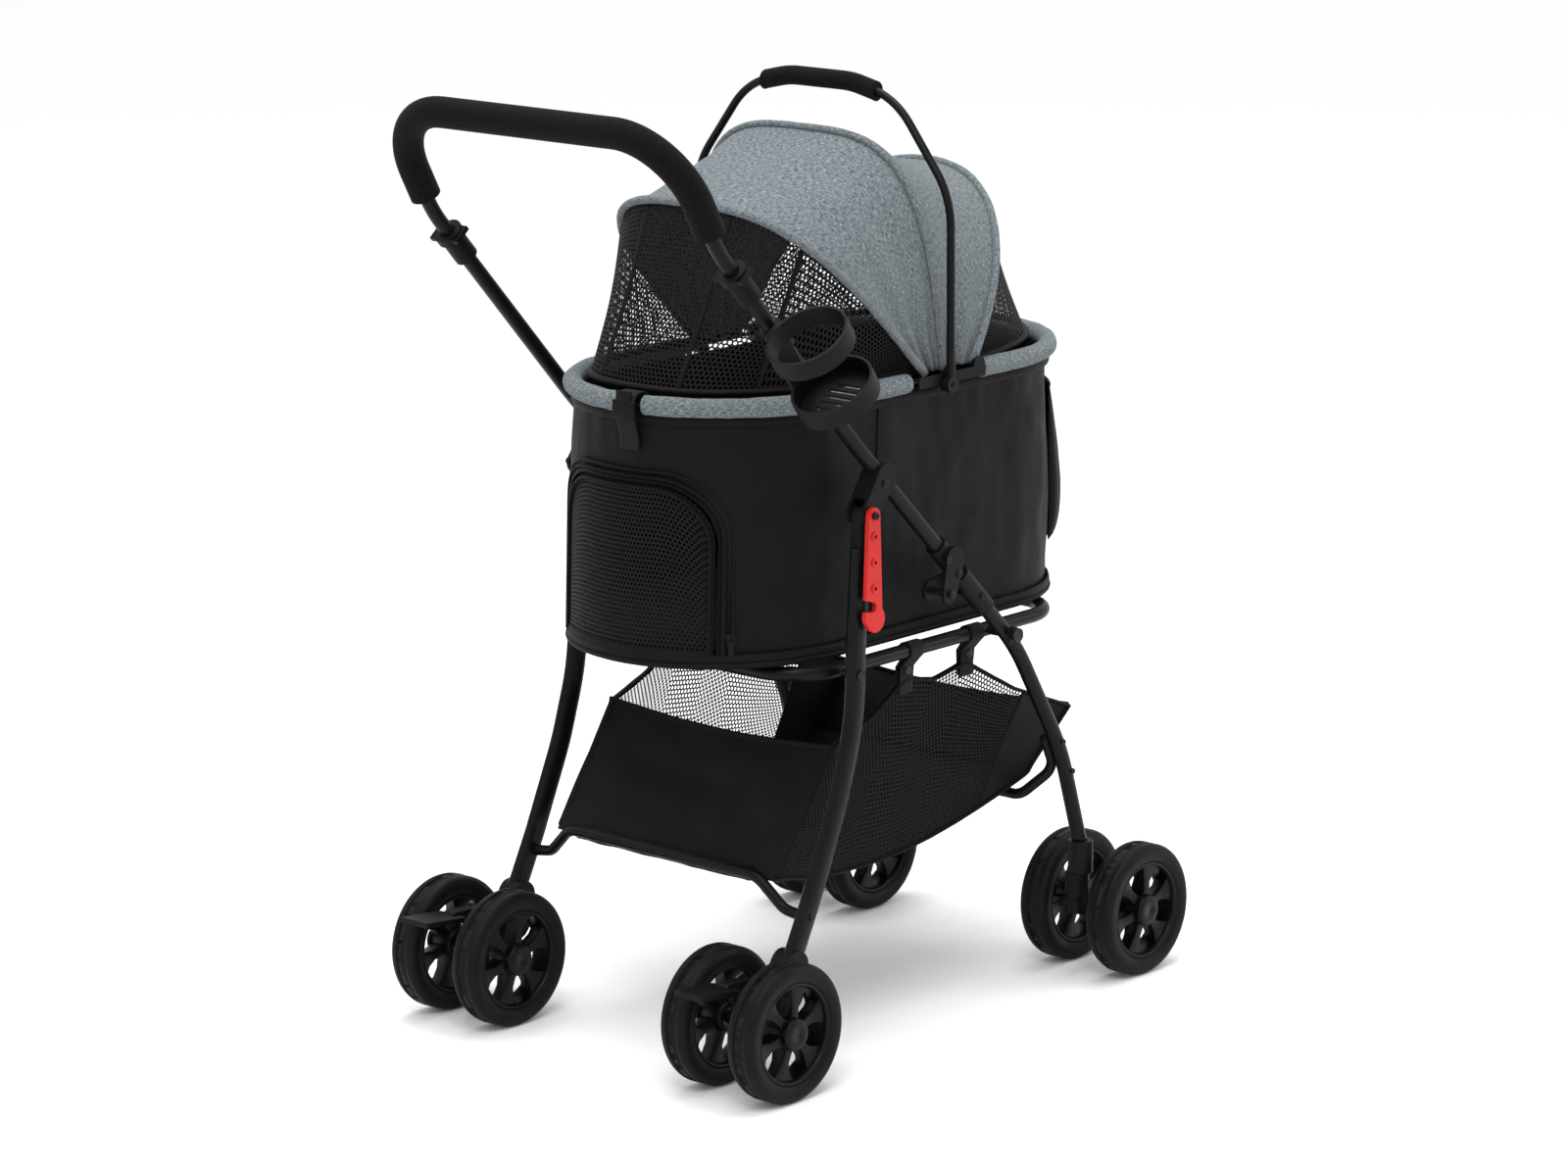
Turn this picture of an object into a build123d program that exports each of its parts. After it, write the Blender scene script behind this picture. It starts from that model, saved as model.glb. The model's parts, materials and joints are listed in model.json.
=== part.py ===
"""Folding pet stroller: frame, twin wheels, lift-off fabric carrier, hood and basket.

Drawing frame, in millimetres: +X is the travel direction, +Y the left side and +Z up.
Its zero lies on the floor under the rear axle, on the mid-plane. Each node is moved by
ORIGIN when it is written, so the written parts have their zero at the bottom centre of
the whole stroller's box.
"""
import os
from math import cos, hypot, pi, radians, sin

from build123d import *

# ---- driving dimensions -------------------------------------------------------------
SIDE_Y = 204.0            # plane of the side tubes, each side of the middle
WHEEL_R = 75.0
TYRE_W = 36.0
TWIN_GAP = 47.0           # wheel centre to the leg plane
RIM_R = 54.9
HUB_R = 15.0
AXLE_R = 5.0
BRAKE_PIVOT = (-2.0, 118.0)
BRAKE_PIN_R = 3.0
PIN_R = 4.0
LOOP_STUD_R = 5.0         # the support loop's front pivot
PIN_FIT = 0.06            # radial running clearance of a pin in its hole
SNUG = 0.02               # radial gap of a tube that is fixed in its sleeve
WHEELBASE = 596.0
REAR_PAIR_Y = 202.0
FRONT_PAIR_Y = 200.0
CASTER_X = 548.0          # steering axis of the front casters

TUBE_R = 8.5              # handle sides and front legs
GRIP_BAR_R = 8.0
FOAM_R = 16.5
LOOP_R = 8.0
CROSS_R = 6.0
LEG_OVAL = (28.0, 15.0)   # rear leg section, fore-aft by across

FOLD = (303.0, 485.0)     # fold hinge, x and z
LEG_PIVOT = (176.0, 592.0)
LOOP_FRONT = (413.0, 420.0)
LOOP_REAR = (165.0, 420.0)
LOOP_Y = 176.0
LOOP_X = (110.0, 552.0)
LOOP_Z = LOOP_REAR[1]

HANDLE_TOP = (-108.0, 1018.0)
HANDLE_BEND = (-45.0, 899.0)
HANDLE_MID = (161.0, 672.0)
HANDLE_END = (322.0, 512.0)
COLLAR_AT = (-8.0, 858.0)
COLLAR_TILT = 42.0
COLLAR_WING = 40.0        # across the two finger wings
LEG_TOP = (334.0, 500.0)

CARRIER_X = (25.0, 640.0)
CARRIER_HALF = 165.0
CARRIER_BASE_Z = 430.0
RIM_Z = 709.0
BOARD_T = 8.0
BOARD_REAR = -14.0
FABRIC_T = 4.0
SLEEVE_R = 11.0
WIRE_R = 2.0
HINGE_PIN_R = 3.0
HINGE_EAR_R = 9.0         # round ears of the hood's hinge plate
CLEAR = 0.5

HOOD_Z = 716.0            # height of the hood's pivot axis
HOOD_X = 352.0
HOOD_HALF = 167.0
HOOP_R = 3.0
HOOD_T = 3.0
# hoop: foot x, lean from +X in degrees, height along the lean, squareness
REAR_HOOP = (322.0, 135.0, 270.0, 3.1)
MID_HOOP = (352.0, 98.0, 254.0, 3.5)
FRONT_HOOP = (400.0, 58.0, 228.0, 2.25)
RIM_REAR = (314.0, 178.0, 284.0, 2.05)
RIM_SHRINK = 15.0         # the mesh ends inside the rim's sleeve
SLEEVE_GAP = (296.0, 414.0)   # where the sleeve is open for the hood's hinge
RIM_FRONT = (408.0, 2.0, 227.0, 2.05)

BAIL_X = 345.0
BAIL_Y = 184.0
BAIL_TOP = 1018.0
BAIL_R = 4.5
BAIL_FOAM_R = 10.5
BAIL_FOAM_HALF = 80.0

DOOR_HALF = 108.0
DOOR_Z = (442.0, 628.0)
DOOR_GAP = 0.6
ZIP_ASIDE = 6.0           # slider to the door's edge

CUP_TILT = 34.0           # the cups lean back with the handle
CUP_LOW = (64.0, -266.5, 746.0)
CUP_RISE = 68.0
CUP_R = 45.0
CUP_WALL = 3.0

STRAP_ANGLE = 186.0

BASKET_Y = 168.0
BASKET_T = 4.0

OVERALL_X = (-124.5, WHEELBASE + WHEEL_R)
OVERALL_Y = (CUP_LOW[1] - CUP_R, REAR_PAIR_Y + TWIN_GAP + TYRE_W / 2)
ORIGIN = Vector(-sum(OVERALL_X) / 2, -sum(OVERALL_Y) / 2, 0)

LEFT, RIGHT = 1, -1
SIDES = ((RIGHT, "right"), (LEFT, "left"))
os.makedirs("parts", exist_ok=True)


# ---- helpers ------------------------------------------------------------------------
def emit(name, *solids):
    """Write one node, as one solid or as a group of separate solids."""
    moved = [Pos(ORIGIN) * s for s in solids]
    shape = moved[0] if len(moved) == 1 else Compound(children=moved)
    export_step(shape, f"parts/{name}.step")


def rod(points, radii, radius):
    """A round bar along straight runs joined by arcs."""
    path = FilletPolyline(*points, radius=radii) if radii else Polyline(*points)
    plane = Plane(origin=path @ 0, z_dir=path % 0)
    return sweep(plane * Circle(radius), path=path)


def side_points(points, y):
    return [(x, y, z) for x, z in points]


def pin(x, z, y0, y1, radius):
    """A round pin across the stroller, from y0 to y1."""
    low, high = min(y0, y1), max(y0, y1)
    plane = Plane(origin=(x, low, z), x_dir=(1, 0, 0), z_dir=(0, 1, 0))
    return extrude(plane * Circle(radius), high - low)


def slab(outline, y0, y1):
    """A plate with an outline in x and z, from y0 to y1."""
    low, high = min(y0, y1), max(y0, y1)
    plane = Plane(origin=(0, high, 0), x_dir=(1, 0, 0), z_dir=(0, -1, 0))
    return extrude(plane * outline, high - low, dir=(0, -1, 0))


def link_plate(a, b, ra, rb, y0, y1):
    return slab(make_hull((Pos(*a) * Circle(ra) + Pos(*b) * Circle(rb)).edges()), y0, y1)


def between(a, b, t):
    return (a[0] + (b[0] - a[0]) * t, a[1] + (b[1] - a[1]) * t)


def run_rod(a, b, y, radius):
    """A straight round bar in a side plane, from a to b."""
    direction = (b[0] - a[0], 0, b[1] - a[1])
    plane = Plane(origin=(a[0], y, a[1]), z_dir=direction)
    return extrude(plane * Circle(radius), hypot(b[0] - a[0], b[1] - a[1]))


def oval_face(half, z, grow=0.0):
    """The carrier's plan: straight sides and round ends."""
    x0, x1 = CARRIER_X[0] - grow, CARRIER_X[1] + grow
    width = 2 * (half + grow)
    return Pos((x0 + x1) / 2, 0, z) * SlotOverall(x1 - x0, width)


# ---- frame --------------------------------------------------------------------------
def handle_side(side):
    """The lower side tube, from the fold sleeve to the pull collar."""
    y = side * SIDE_Y
    return rod(side_points([HANDLE_END, HANDLE_MID, COLLAR_AT], y), [400], TUBE_R)


def grip_points():
    near = side_points([COLLAR_AT, HANDLE_BEND, HANDLE_TOP], -SIDE_Y)
    far = side_points([HANDLE_TOP, HANDLE_BEND, COLLAR_AT], SIDE_Y)
    return near + far


GRIP_RADII = [150, 82, 82, 150]


def grip_bar():
    return rod(grip_points(), GRIP_RADII, GRIP_BAR_R)


def grip_foam():
    """Foam sleeve from one side round the top bar to the other."""
    start = between(HANDLE_BEND, HANDLE_TOP, 0.15)
    points = side_points([start, HANDLE_TOP], -SIDE_Y) + side_points([HANDLE_TOP, start], SIDE_Y)
    outer = rod(points, GRIP_RADII[1:3], FOAM_R)
    return outer - rod(grip_points(), GRIP_RADII, GRIP_BAR_R + 0.1)


def collar(side):
    """Pull collar with two finger wings, round the joint of the side tube."""
    y = side * SIDE_Y
    low = between(HANDLE_MID, COLLAR_AT, 0.93)
    high = between(COLLAR_AT, HANDLE_BEND, 0.42)
    body = run_rod(low, high, y, 13)
    flange = run_rod(between(low, high, 0.78), high, y, 16)
    wing_at = between(low, high, 0.9)
    wing = Pos(wing_at[0], y, wing_at[1]) * Rot(0, -COLLAR_TILT, 0) * Box(22, COLLAR_WING, 5)
    reach = between(low, high, -0.6), between(low, high, 1.6)
    return body + flange + wing - run_rod(*reach, y, TUBE_R + 0.4)


def leg_bracket(side):
    """Clevis that hangs the rear leg under the side tube."""
    y = side * SIDE_Y
    top = between(HANDLE_MID, HANDLE_END, 0.27)
    outer = link_plate(top, LEG_PIVOT, 15, 12, y - 12, y + 12)
    slot_x = LEG_PIVOT[0] - 6
    slot = link_plate((slot_x, LEG_PIVOT[1]), (slot_x, LEG_PIVOT[1] - 60), 17, 17, y - 8, y + 8)
    hole = pin(*LEG_PIVOT, y - 20, y + 20, PIN_R)
    tube = run_rod(HANDLE_END, HANDLE_MID, y, TUBE_R + SNUG)
    return outer - slot - hole - tube


def leg_pin(side):
    y = side * SIDE_Y
    return pin(*LEG_PIVOT, y - side * 13, y + side * 20, PIN_R)


def fold_sleeve(side):
    """Upper half of the fold joint, with its outer ear."""
    y = side * SIDE_Y
    start = between(HANDLE_END, HANDLE_MID, 0.16)
    sleeve = run_rod(HANDLE_END, start, y, TUBE_R + 3)
    ear = link_plate(between(HANDLE_END, HANDLE_MID, 0.06), FOLD, 14, 11, y + side * 11.6, y + side * 15.2)
    web = link_plate(between(HANDLE_END, HANDLE_MID, 0.1), between(HANDLE_END, HANDLE_MID, 0.02), 9, 9,
                     y + side * 6, y + side * 12)
    bore = run_rod(between(HANDLE_END, HANDLE_MID, -0.1), HANDLE_MID, y, TUBE_R + SNUG)
    return sleeve + web + ear - bore - pin(*FOLD, y, y + side * 30, PIN_R + PIN_FIT)


def fold_housing(side):
    """Lower half of the fold joint, with its inner ear."""
    y = side * SIDE_Y
    end = (LEG_TOP[0] + 44, LEG_TOP[1] - 44)
    sleeve = run_rod(LEG_TOP, end, y, TUBE_R + 3)
    ear = link_plate((LEG_TOP[0] + 10, LEG_TOP[1] - 10), FOLD, 13, 11, y - side * 12, y - side * 16)
    web = link_plate((LEG_TOP[0] + 12, LEG_TOP[1] - 12), (LEG_TOP[0] + 22, LEG_TOP[1] - 22), 8, 8,
                     y - side * 7, y - side * 13)
    bore = run_rod((LEG_TOP[0] - 20, LEG_TOP[1] + 20), (end[0] + 20, end[1] - 20), y, TUBE_R + SNUG)
    return sleeve + web + ear - bore - pin(*FOLD, y, y - side * 30, PIN_R)


def fold_pin(side):
    y = side * SIDE_Y
    return pin(*FOLD, y - side * 17, y + side * 17.5, PIN_R)


FRONT_LEG = [LEG_TOP, (432, 402), (512, 268), (CASTER_X, 150), (CASTER_X, 122)]


def front_leg(side):
    y = side * SIDE_Y
    bar = rod(side_points(FRONT_LEG[:4], y), [250, 250], TUBE_R)
    lean = FRONT_LEG[3]
    foot = run_rod(lean, FRONT_LEG[4], y, TUBE_R)
    knee = Pos(lean[0], y, lean[1]) * Sphere(TUBE_R)
    return bar + foot + knee - pin(*LOOP_FRONT, y - 30, y + 30, LOOP_STUD_R)


def loop_stud(side):
    """Stud through the front leg: the loop turns on its inner end."""
    y = side * SIDE_Y
    shank = pin(*LOOP_FRONT, side * (LOOP_Y - 9), y + side * 17, LOOP_STUD_R - SNUG)
    washer = pin(*LOOP_FRONT, y + side * 9.5, y + side * 13, 9)
    head = pin(*LOOP_FRONT, y + side * 17, y + side * 20, 8)
    return shank + washer + head


def caster_socket(side):
    y = side * SIDE_Y
    body = Pos(CASTER_X, y, 138.5) * Cylinder(14, 37)
    return body - Pos(CASTER_X, y, 150) * Cylinder(TUBE_R + SNUG, 60) - front_leg(side)


def front_cross_bar():
    """Bar between the front legs, with ends that lie on the legs' inner faces."""
    near = [(503, -188, 282), (520, -188, 243), (497, -158, 211)]
    far = [(x, -y, z) for x, y, z in near[::-1]]
    return rod(near + far, [22, 20, 20, 22], CROSS_R)


def support_loop():
    """Rounded rectangle of tube that carries the lift-off carrier."""
    mid = (sum(LOOP_X) / 2, 0)
    size = (LOOP_X[1] - LOOP_X[0], 2 * LOOP_Y)
    outline = (Pos(*mid, LOOP_Z) * RectangleRounded(*size, 60)).face().outer_wire()
    ring = sweep(Plane(origin=outline @ 0, z_dir=outline % 0) * Circle(LOOP_R), path=outline)
    return ring - pin(*LOOP_FRONT, -300, 300, LOOP_STUD_R + PIN_FIT)


# ---- rear frame ---------------------------------------------------------------------
REAR_LEG = [(174, 556), (166, 450), (164, 372), (136, 285), (92, 188), (50, 106)]


def rear_leg(side):
    """Oval leg tube, with a narrow fitting on top for the bracket."""
    y = side * SIDE_Y
    path = FilletPolyline(*side_points(REAR_LEG, y), radius=[300, 260, 300, 300])
    plane = Plane(origin=path @ 0, x_dir=(0, 1, 0), z_dir=path % 0)
    leg = sweep(plane * Ellipse(LEG_OVAL[1] / 2, LEG_OVAL[0] / 2), path=path)
    fitting = link_plate(LEG_PIVOT, (173.5, 548), 8, 8, y - 7, y + 7)
    shape = leg + fitting
    shape -= pin(*LEG_PIVOT, y - 20, y + 20, PIN_R + PIN_FIT)
    return shape - pin(*LOOP_REAR, y - 20, y + 20, PIN_R)


def loop_pivot_pin(side):
    """Headed pin in the rear leg, which ends against the loop's outer side."""
    y = side * SIDE_Y
    head = pin(*LOOP_REAR, y + side * 7.6, y + side * 9.6, 6)
    return pin(*LOOP_REAR, side * (LOOP_Y + LOOP_R + PIN_FIT), y + side * 7.6, PIN_R - SNUG) + head


def rear_cross_bar():
    """Bar between the rear legs, dropped at its ends to the legs' inner faces."""
    near = [(88, -195.8, 170), (86, -172, 174), (80, -138, 206)]
    far = [(x, -y, z) for x, y, z in near[::-1]]
    return rod(near + far, [22, 30, 30, 22], CROSS_R)


def rear_housing(side):
    """Moulded foot: holds the leg's end and the axle."""
    y = side * REAR_PAIR_Y
    outline = link_plate((48, 98), (0, WHEEL_R), 22, 17, y - 12, y + 12)
    socket = link_plate((44, 94), (60, 124), 19, 17, y - 12, y + 12)
    shape = outline + socket - brake_room(side) - rear_leg(side)
    for inner in (9.5, -12):
        shape += link_plate((14, 95), BRAKE_PIVOT, 10, 8, y + inner, y + inner + 2.5)
    shape -= pin(*BRAKE_PIVOT, y - 20, y + 20, BRAKE_PIN_R + PIN_FIT)
    return shape - pin(0, WHEEL_R, y - 20, y + 20, AXLE_R)


def brake_room(side):
    y = side * REAR_PAIR_Y
    return link_plate(BRAKE_PIVOT, (-40, BRAKE_PIVOT[1]), 11, 11, y - 9.4, y + 9.4)


def axle(x, y):
    reach = TWIN_GAP + TYRE_W / 2 - 3
    return pin(x, WHEEL_R, y - reach, y + reach, AXLE_R)


def brake_pedal(side):
    """Foot lever behind the leg, on a pin through the foot."""
    y = side * REAR_PAIR_Y
    arm = link_plate(BRAKE_PIVOT, (-40, 122), 7, 6, y - 8, y + 8)
    trunnion = pin(*BRAKE_PIVOT, y - 12, y + 12, BRAKE_PIN_R)
    paddle = Pos(-68, y, 124) * Rot(0, 6, 0) * Box(60, 40, 6)
    return arm + trunnion + fillet(paddle.edges().filter_by(GeomType.LINE).group_by(SortBy.LENGTH)[0], 2.5)


# ---- wheels -------------------------------------------------------------------------
SPOKES = 6


def wheel(x, y):
    """Tyre, and a dished hub with six spokes; the hub faces are sunk a little."""
    plane = Plane(origin=(x, y, WHEEL_R), x_dir=(1, 0, 0), z_dir=(0, 1, 0))
    tyre = Cylinder(WHEEL_R, TYRE_W) - Cylinder(RIM_R + 0.1, TYRE_W + 2)
    tyre = fillet(tyre.edges().filter_by(GeomType.CIRCLE).sort_by(SortBy.RADIUS)[-2:], 8)
    rim = Cylinder(RIM_R, 30) - Cylinder(RIM_R - 6, 32)
    web = Cylinder(RIM_R - 5, 12) - spoke_windows()
    hub = Cylinder(HUB_R, TYRE_W - 2)
    bore = Cylinder(AXLE_R + PIN_FIT, 60)
    core = (rim + web + hub) - bore
    return [plane.location * tyre, plane.location * core]


def spoke_windows():
    corners = Pos(24, 0) * Circle(4.5) + Pos(40, 9) * Circle(5) + Pos(40, -9) * Circle(5)
    window = make_hull(corners.edges())
    cut = extrude(window, 20, both=True)
    return [Rot(0, 0, 360 / SPOKES * i) * cut for i in range(SPOKES)]


# ---- front casters ------------------------------------------------------------------
def caster(side):
    """Swivel barrel with a forward arm to the axle."""
    y = side * FRONT_PAIR_Y
    barrel = Pos(CASTER_X, y, 96) * Cylinder(13.5, 46)
    arm = link_plate((CASTER_X, 84), (WHEELBASE, WHEEL_R), 13.5, 12, y - 11, y + 11)
    return barrel + arm - pin(WHEELBASE, WHEEL_R, y - 20, y + 20, AXLE_R)


# ---- cup holder and hook ------------------------------------------------------------
def cup_frame():
    x, y, z = CUP_LOW
    return Pos(x, y, z) * Rot(0, -CUP_TILT, 0)


def cup_holder():
    """Two rings on a back rib; the lower one has a slotted floor."""
    ring = Cylinder(CUP_R, 22) - Cylinder(CUP_R - CUP_WALL, 24)
    floor = Pos(0, 0, -9.5) * Cylinder(CUP_R - 1, 3)
    slots = [Pos(9 * i, 0, -9.5) * Box(4, 40 - 3 * abs(i), 8) for i in range(-2, 3)]
    rib = Pos(0, CUP_R + 1.5, CUP_RISE / 2) * Box(24, 6, CUP_RISE + 22)
    rib -= Cylinder(CUP_R - CUP_WALL, 300)
    lower = ring + floor - slots
    return cup_frame() * (lower + Pos(0, 0, CUP_RISE) * ring + rib)


def cup_clamp():
    """Clamp ring round the side tube, behind the cup holder's rib."""
    mid_x = CUP_LOW[0] - CUP_RISE / 2 * sin(radians(CUP_TILT))
    along = (mid_x - HANDLE_MID[0]) / (COLLAR_AT[0] - HANDLE_MID[0])
    low, high = between(HANDLE_MID, COLLAR_AT, along - 0.06), between(HANDLE_MID, COLLAR_AT, along + 0.06)
    ring = run_rod(low, high, -SIDE_Y, TUBE_R + 4)
    return ring - run_rod(HANDLE_MID, COLLAR_AT, -SIDE_Y, TUBE_R + SNUG)


# ---- carrier ------------------------------------------------------------------------
def base_board():
    """Stiff floor, a little longer at the rear than the rim above it."""
    face = oval_face(CARRIER_HALF, CARRIER_BASE_Z, -1)
    return extrude(face + Pos(BOARD_REAR, 0, 0) * face, BOARD_T)


def arch_prism(grow):
    """The door's outline, pushed rearward through the end wall."""
    half, low, high = DOOR_HALF + grow, DOOR_Z[0] - grow, DOOR_Z[1] + grow
    plane = Plane(origin=(CARRIER_X[0] - 30, 0, 0), x_dir=(0, 1, 0), z_dir=(1, 0, 0))
    face = Pos(0, (low + high) / 2) * Rectangle(2 * half, high - low)
    face = fillet(face.vertices().group_by(Axis.Y)[-1], 60 + grow)
    return extrude(plane * face, 140)


def tub_ring(z0, z1):
    outer = extrude(oval_face(CARRIER_HALF, z0), z1 - z0)
    return outer - extrude(oval_face(CARRIER_HALF, z0, -FABRIC_T), z1 - z0)


def tub_wall():
    return tub_ring(CARRIER_BASE_Z + BOARD_T + CLEAR, RIM_Z - SLEEVE_R - CLEAR) - arch_prism(0)


def rear_door():
    return tub_ring(CARRIER_BASE_Z + BOARD_T + CLEAR, RIM_Z - SLEEVE_R - CLEAR) & arch_prism(-DOOR_GAP)


def rim_path():
    return oval_face(CARRIER_HALF, RIM_Z).face().outer_wire()


def rim_wire():
    path = rim_path()
    return sweep(Plane(origin=path @ 0, z_dir=path % 0) * Circle(WIRE_R), path=path)


def rim_sleeve():
    path = rim_path()
    full = sweep(Plane(origin=path @ 0, z_dir=path % 0) * Circle(SLEEVE_R), path=path)
    gap = Pos(sum(SLEEVE_GAP) / 2, 0, RIM_Z) * Box(SLEEVE_GAP[1] - SLEEVE_GAP[0], 400, 40)
    return full - rim_wire() - gap


def pad():
    return extrude(oval_face(CARRIER_HALF, CARRIER_BASE_Z + BOARD_T + CLEAR, -FABRIC_T - 6), 18)


def hoop_points(hoop, shrink=0.0, count=13):
    """Points of a rounded-square arc that stands on the two hood pivots."""
    foot, lean, height, square = hoop
    power = 2 / square
    points = []
    for i in range(count):
        t = pi * i / (count - 1)
        across = (HOOD_HALF - shrink) * abs(cos(t)) ** power * (1 if cos(t) >= 0 else -1)
        rise = (height - shrink) * abs(sin(t)) ** power if 0 < i < count - 1 else 0.0
        points.append((foot + rise * cos(radians(lean)), across, HOOD_Z + rise * sin(radians(lean))))
    return points


def hoop_rod(hoop, radius=HOOP_R, shrink=0.0):
    line = Spline(*hoop_points(hoop, shrink))
    return sweep(Plane(origin=line @ 0, z_dir=line % 0) * Circle(radius), path=line)


def patch(*corners):
    return Face(Wire.make_polygon(corners, close=True))


def strip(line_a, line_b):
    """Triangles between two rows of points."""
    faces = []
    for (a0, a1), (b0, b1) in zip(zip(line_a, line_a[1:]), zip(line_b, line_b[1:])):
        faces += [patch(a0, a1, b0), patch(a1, b1, b0)]
    return faces


def hood_shell(hoop_a, hoop_b, shrink=5.0):
    """A thin faceted shell of fabric between two hoops."""
    outer_a, inner_a = hoop_points(hoop_a, 5.0), hoop_points(hoop_a, 5.0 + HOOD_T)
    outer_b, inner_b = hoop_points(hoop_b, shrink), hoop_points(hoop_b, shrink + HOOD_T)
    faces = strip(outer_a, outer_b) + strip(inner_b, inner_a)
    faces += strip(inner_a, outer_a) + strip(outer_b, inner_b)
    for end in (0, -1):
        faces += strip([inner_a[end], outer_a[end]], [inner_b[end], outer_b[end]])
    return Solid(Shell(faces))


def turned(hoop, step):
    """The hoop's outline a few degrees along, for a shell that starts beside it."""
    foot, lean, height, square = hoop
    return (foot, lean + step, height, square)


def hinge_block(side):
    """Plate outside the rim, with the hood's pin, the front hoop's boss and the bail's pin."""
    y = side * (CARRIER_HALF + SLEEVE_R + 0.2)
    bar = Pos(sum(SLEEVE_GAP) / 2, y + side * 1.2, RIM_Z) * Box(110, 2.4, 12)
    ends = ((HOOD_X, HOOD_Z), (FRONT_HOOP[0], HOOD_Z + 1), (BAIL_X, RIM_Z - 6))
    plate = bar + [pin(x, z, y, y + side * 2.4, HINGE_EAR_R) for x, z in ends]
    hood_pin = pin(HOOD_X, HOOD_Z, y, side * 164, HINGE_PIN_R)
    boss = pin(FRONT_HOOP[0], HOOD_Z + 1, y, side * (HOOD_HALF + HOOP_R + 0.1), 5)
    bail_pin = pin(BAIL_X, RIM_Z - 6, y, side * (BAIL_Y + 5), HINGE_PIN_R)
    return plate + hood_pin + boss + bail_pin


def mid_hoop():
    """Hoop that turns on the hood pins with an eye at each end."""
    shape = hoop_rod(MID_HOOP)
    for side, _ in SIDES:
        shape += pin(HOOD_X, HOOD_Z, side * 164.4, side * 169.8, 4.8)
        shape -= pin(HOOD_X, HOOD_Z, side * 160, side * 172, HINGE_PIN_R + PIN_FIT)
    return shape


def rear_hoop():
    """Hoop with a flat lug at each foot, which reaches forward to the hood pins."""
    shape = hoop_rod(REAR_HOOP)
    foot = (REAR_HOOP[0], HOOD_Z)
    for side, _ in SIDES:
        shape += link_plate(foot, (HOOD_X, HOOD_Z), 5, 6, side * 170.1, side * 173.1)
        shape += pin(*foot, side * 165, side * 172, 4)
        shape -= pin(HOOD_X, HOOD_Z, side * 160, side * 175, HINGE_PIN_R + PIN_FIT)
    return shape


def bail_points():
    half = [(-BAIL_Y, RIM_Z + 2), (-BAIL_Y, 905), (-107, 1004), (-45, BAIL_TOP)]
    return [(BAIL_X, y, z) for y, z in half] + [(BAIL_X, -y, z) for y, z in half[::-1]]


BAIL_RADII = [95, 90, 120, 120, 90, 95]


def bail_rod():
    """Carrying bail with an eye at each foot."""
    shape = rod(bail_points(), BAIL_RADII, BAIL_R)
    for side, _ in SIDES:
        shape += pin(BAIL_X, RIM_Z - 6, side * (BAIL_Y - 4), side * (BAIL_Y + 4), 9)
        shape -= pin(BAIL_X, RIM_Z - 6, side * (BAIL_Y - 12), side * (BAIL_Y + 12), HINGE_PIN_R + PIN_FIT)
    return shape


def bail_foam():
    """Foam grip round the top of the bail, in the shape of the rod."""
    band = Pos(BAIL_X, 0, BAIL_TOP - 20) * Box(60, 2 * BAIL_FOAM_HALF, 100)
    sleeve = rod(bail_points()[1:-1], BAIL_RADII[1:-1], BAIL_FOAM_R)
    return (sleeve & band) - rod(bail_points(), BAIL_RADII, BAIL_R + 0.1)


def red_hook():
    """Hook plate that hangs at the leg pivot and catches the front stud when folded."""
    x, z = LEG_PIVOT
    y = -SIDE_Y - 13.2
    plate = link_plate((x, z), (x - 1, z - 100), 9, 13, y - 5, y)
    tip = link_plate((x - 1, z - 108), (x + 2, z - 112), 14, 14, y - 5, y)
    slot = link_plate((x - 3, z - 98), (x - 30, z - 92), 5.6, 7, y - 8, y + 3)
    holes = [pin(x - 0.3, z - d, y - 8, y + 3, 2.2) for d in (22, 50, 78)]
    return plate + tip - slot - holes - pin(x, z, y - 8, y + 3, PIN_R + PIN_FIT)


def front_pocket():
    """Slim pocket on the carrier's front end."""
    outer = extrude(oval_face(CARRIER_HALF, 520, 12), 150)
    outer -= extrude(oval_face(CARRIER_HALF, 520, CLEAR), 150)
    return outer & Pos(CARRIER_X[1], 0, 590) * Box(180, 200, 300)


def rim_strap():
    """Webbing strap with a clip, over the rim at the rear."""
    plate = Pos(CARRIER_HALF + SLEEVE_R + 1.8, 0, RIM_Z - 14) * Box(3, 25, 58)
    centre = CARRIER_X[0] + CARRIER_HALF
    return Pos(centre, 0, 0) * Rot(0, 0, STRAP_ANGLE) * plate


def zip_slider():
    y = -DOOR_HALF - ZIP_ASIDE
    centre = CARRIER_X[0] + CARRIER_HALF
    x = centre - (CARRIER_HALF ** 2 - y ** 2) ** 0.5
    body = Pos(x - 4.5, y - 3, DOOR_Z[0] + 20) * Rot(0, 0, 40) * Box(5, 9, 14)
    pull = Pos(x - 7.5, y - 5.5, DOOR_Z[0] + 8) * Rot(0, 0, 40) * Box(2, 6, 22)
    return body + pull


BASKET_OUTLINE = [
    (92, 202), (170, 326), (289, 386), (391, 386), (574, 300),
    (512, 233), (482, 227), (405, 181), (200, 181),
]
# what is cut away inside the side panels to open the basket's top
BASKET_MOUTH = [(176, 300), (289, 360), (391, 360), (556, 290), (556, 500), (176, 500)]


def basket():
    """Open-topped fabric basket hung between the cross bars and the support loop."""
    face = Polygon(*BASKET_OUTLINE, align=None)
    outer = slab(face, -BASKET_Y, BASKET_Y)
    inner = slab(offset(face, -BASKET_T, kind=Kind.INTERSECTION), -BASKET_Y + BASKET_T, BASKET_Y - BASKET_T)
    mouth = Polygon(*BASKET_MOUTH, align=None)
    return outer - inner - slab(mouth, -BASKET_Y + BASKET_T, BASKET_Y - BASKET_T)


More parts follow.
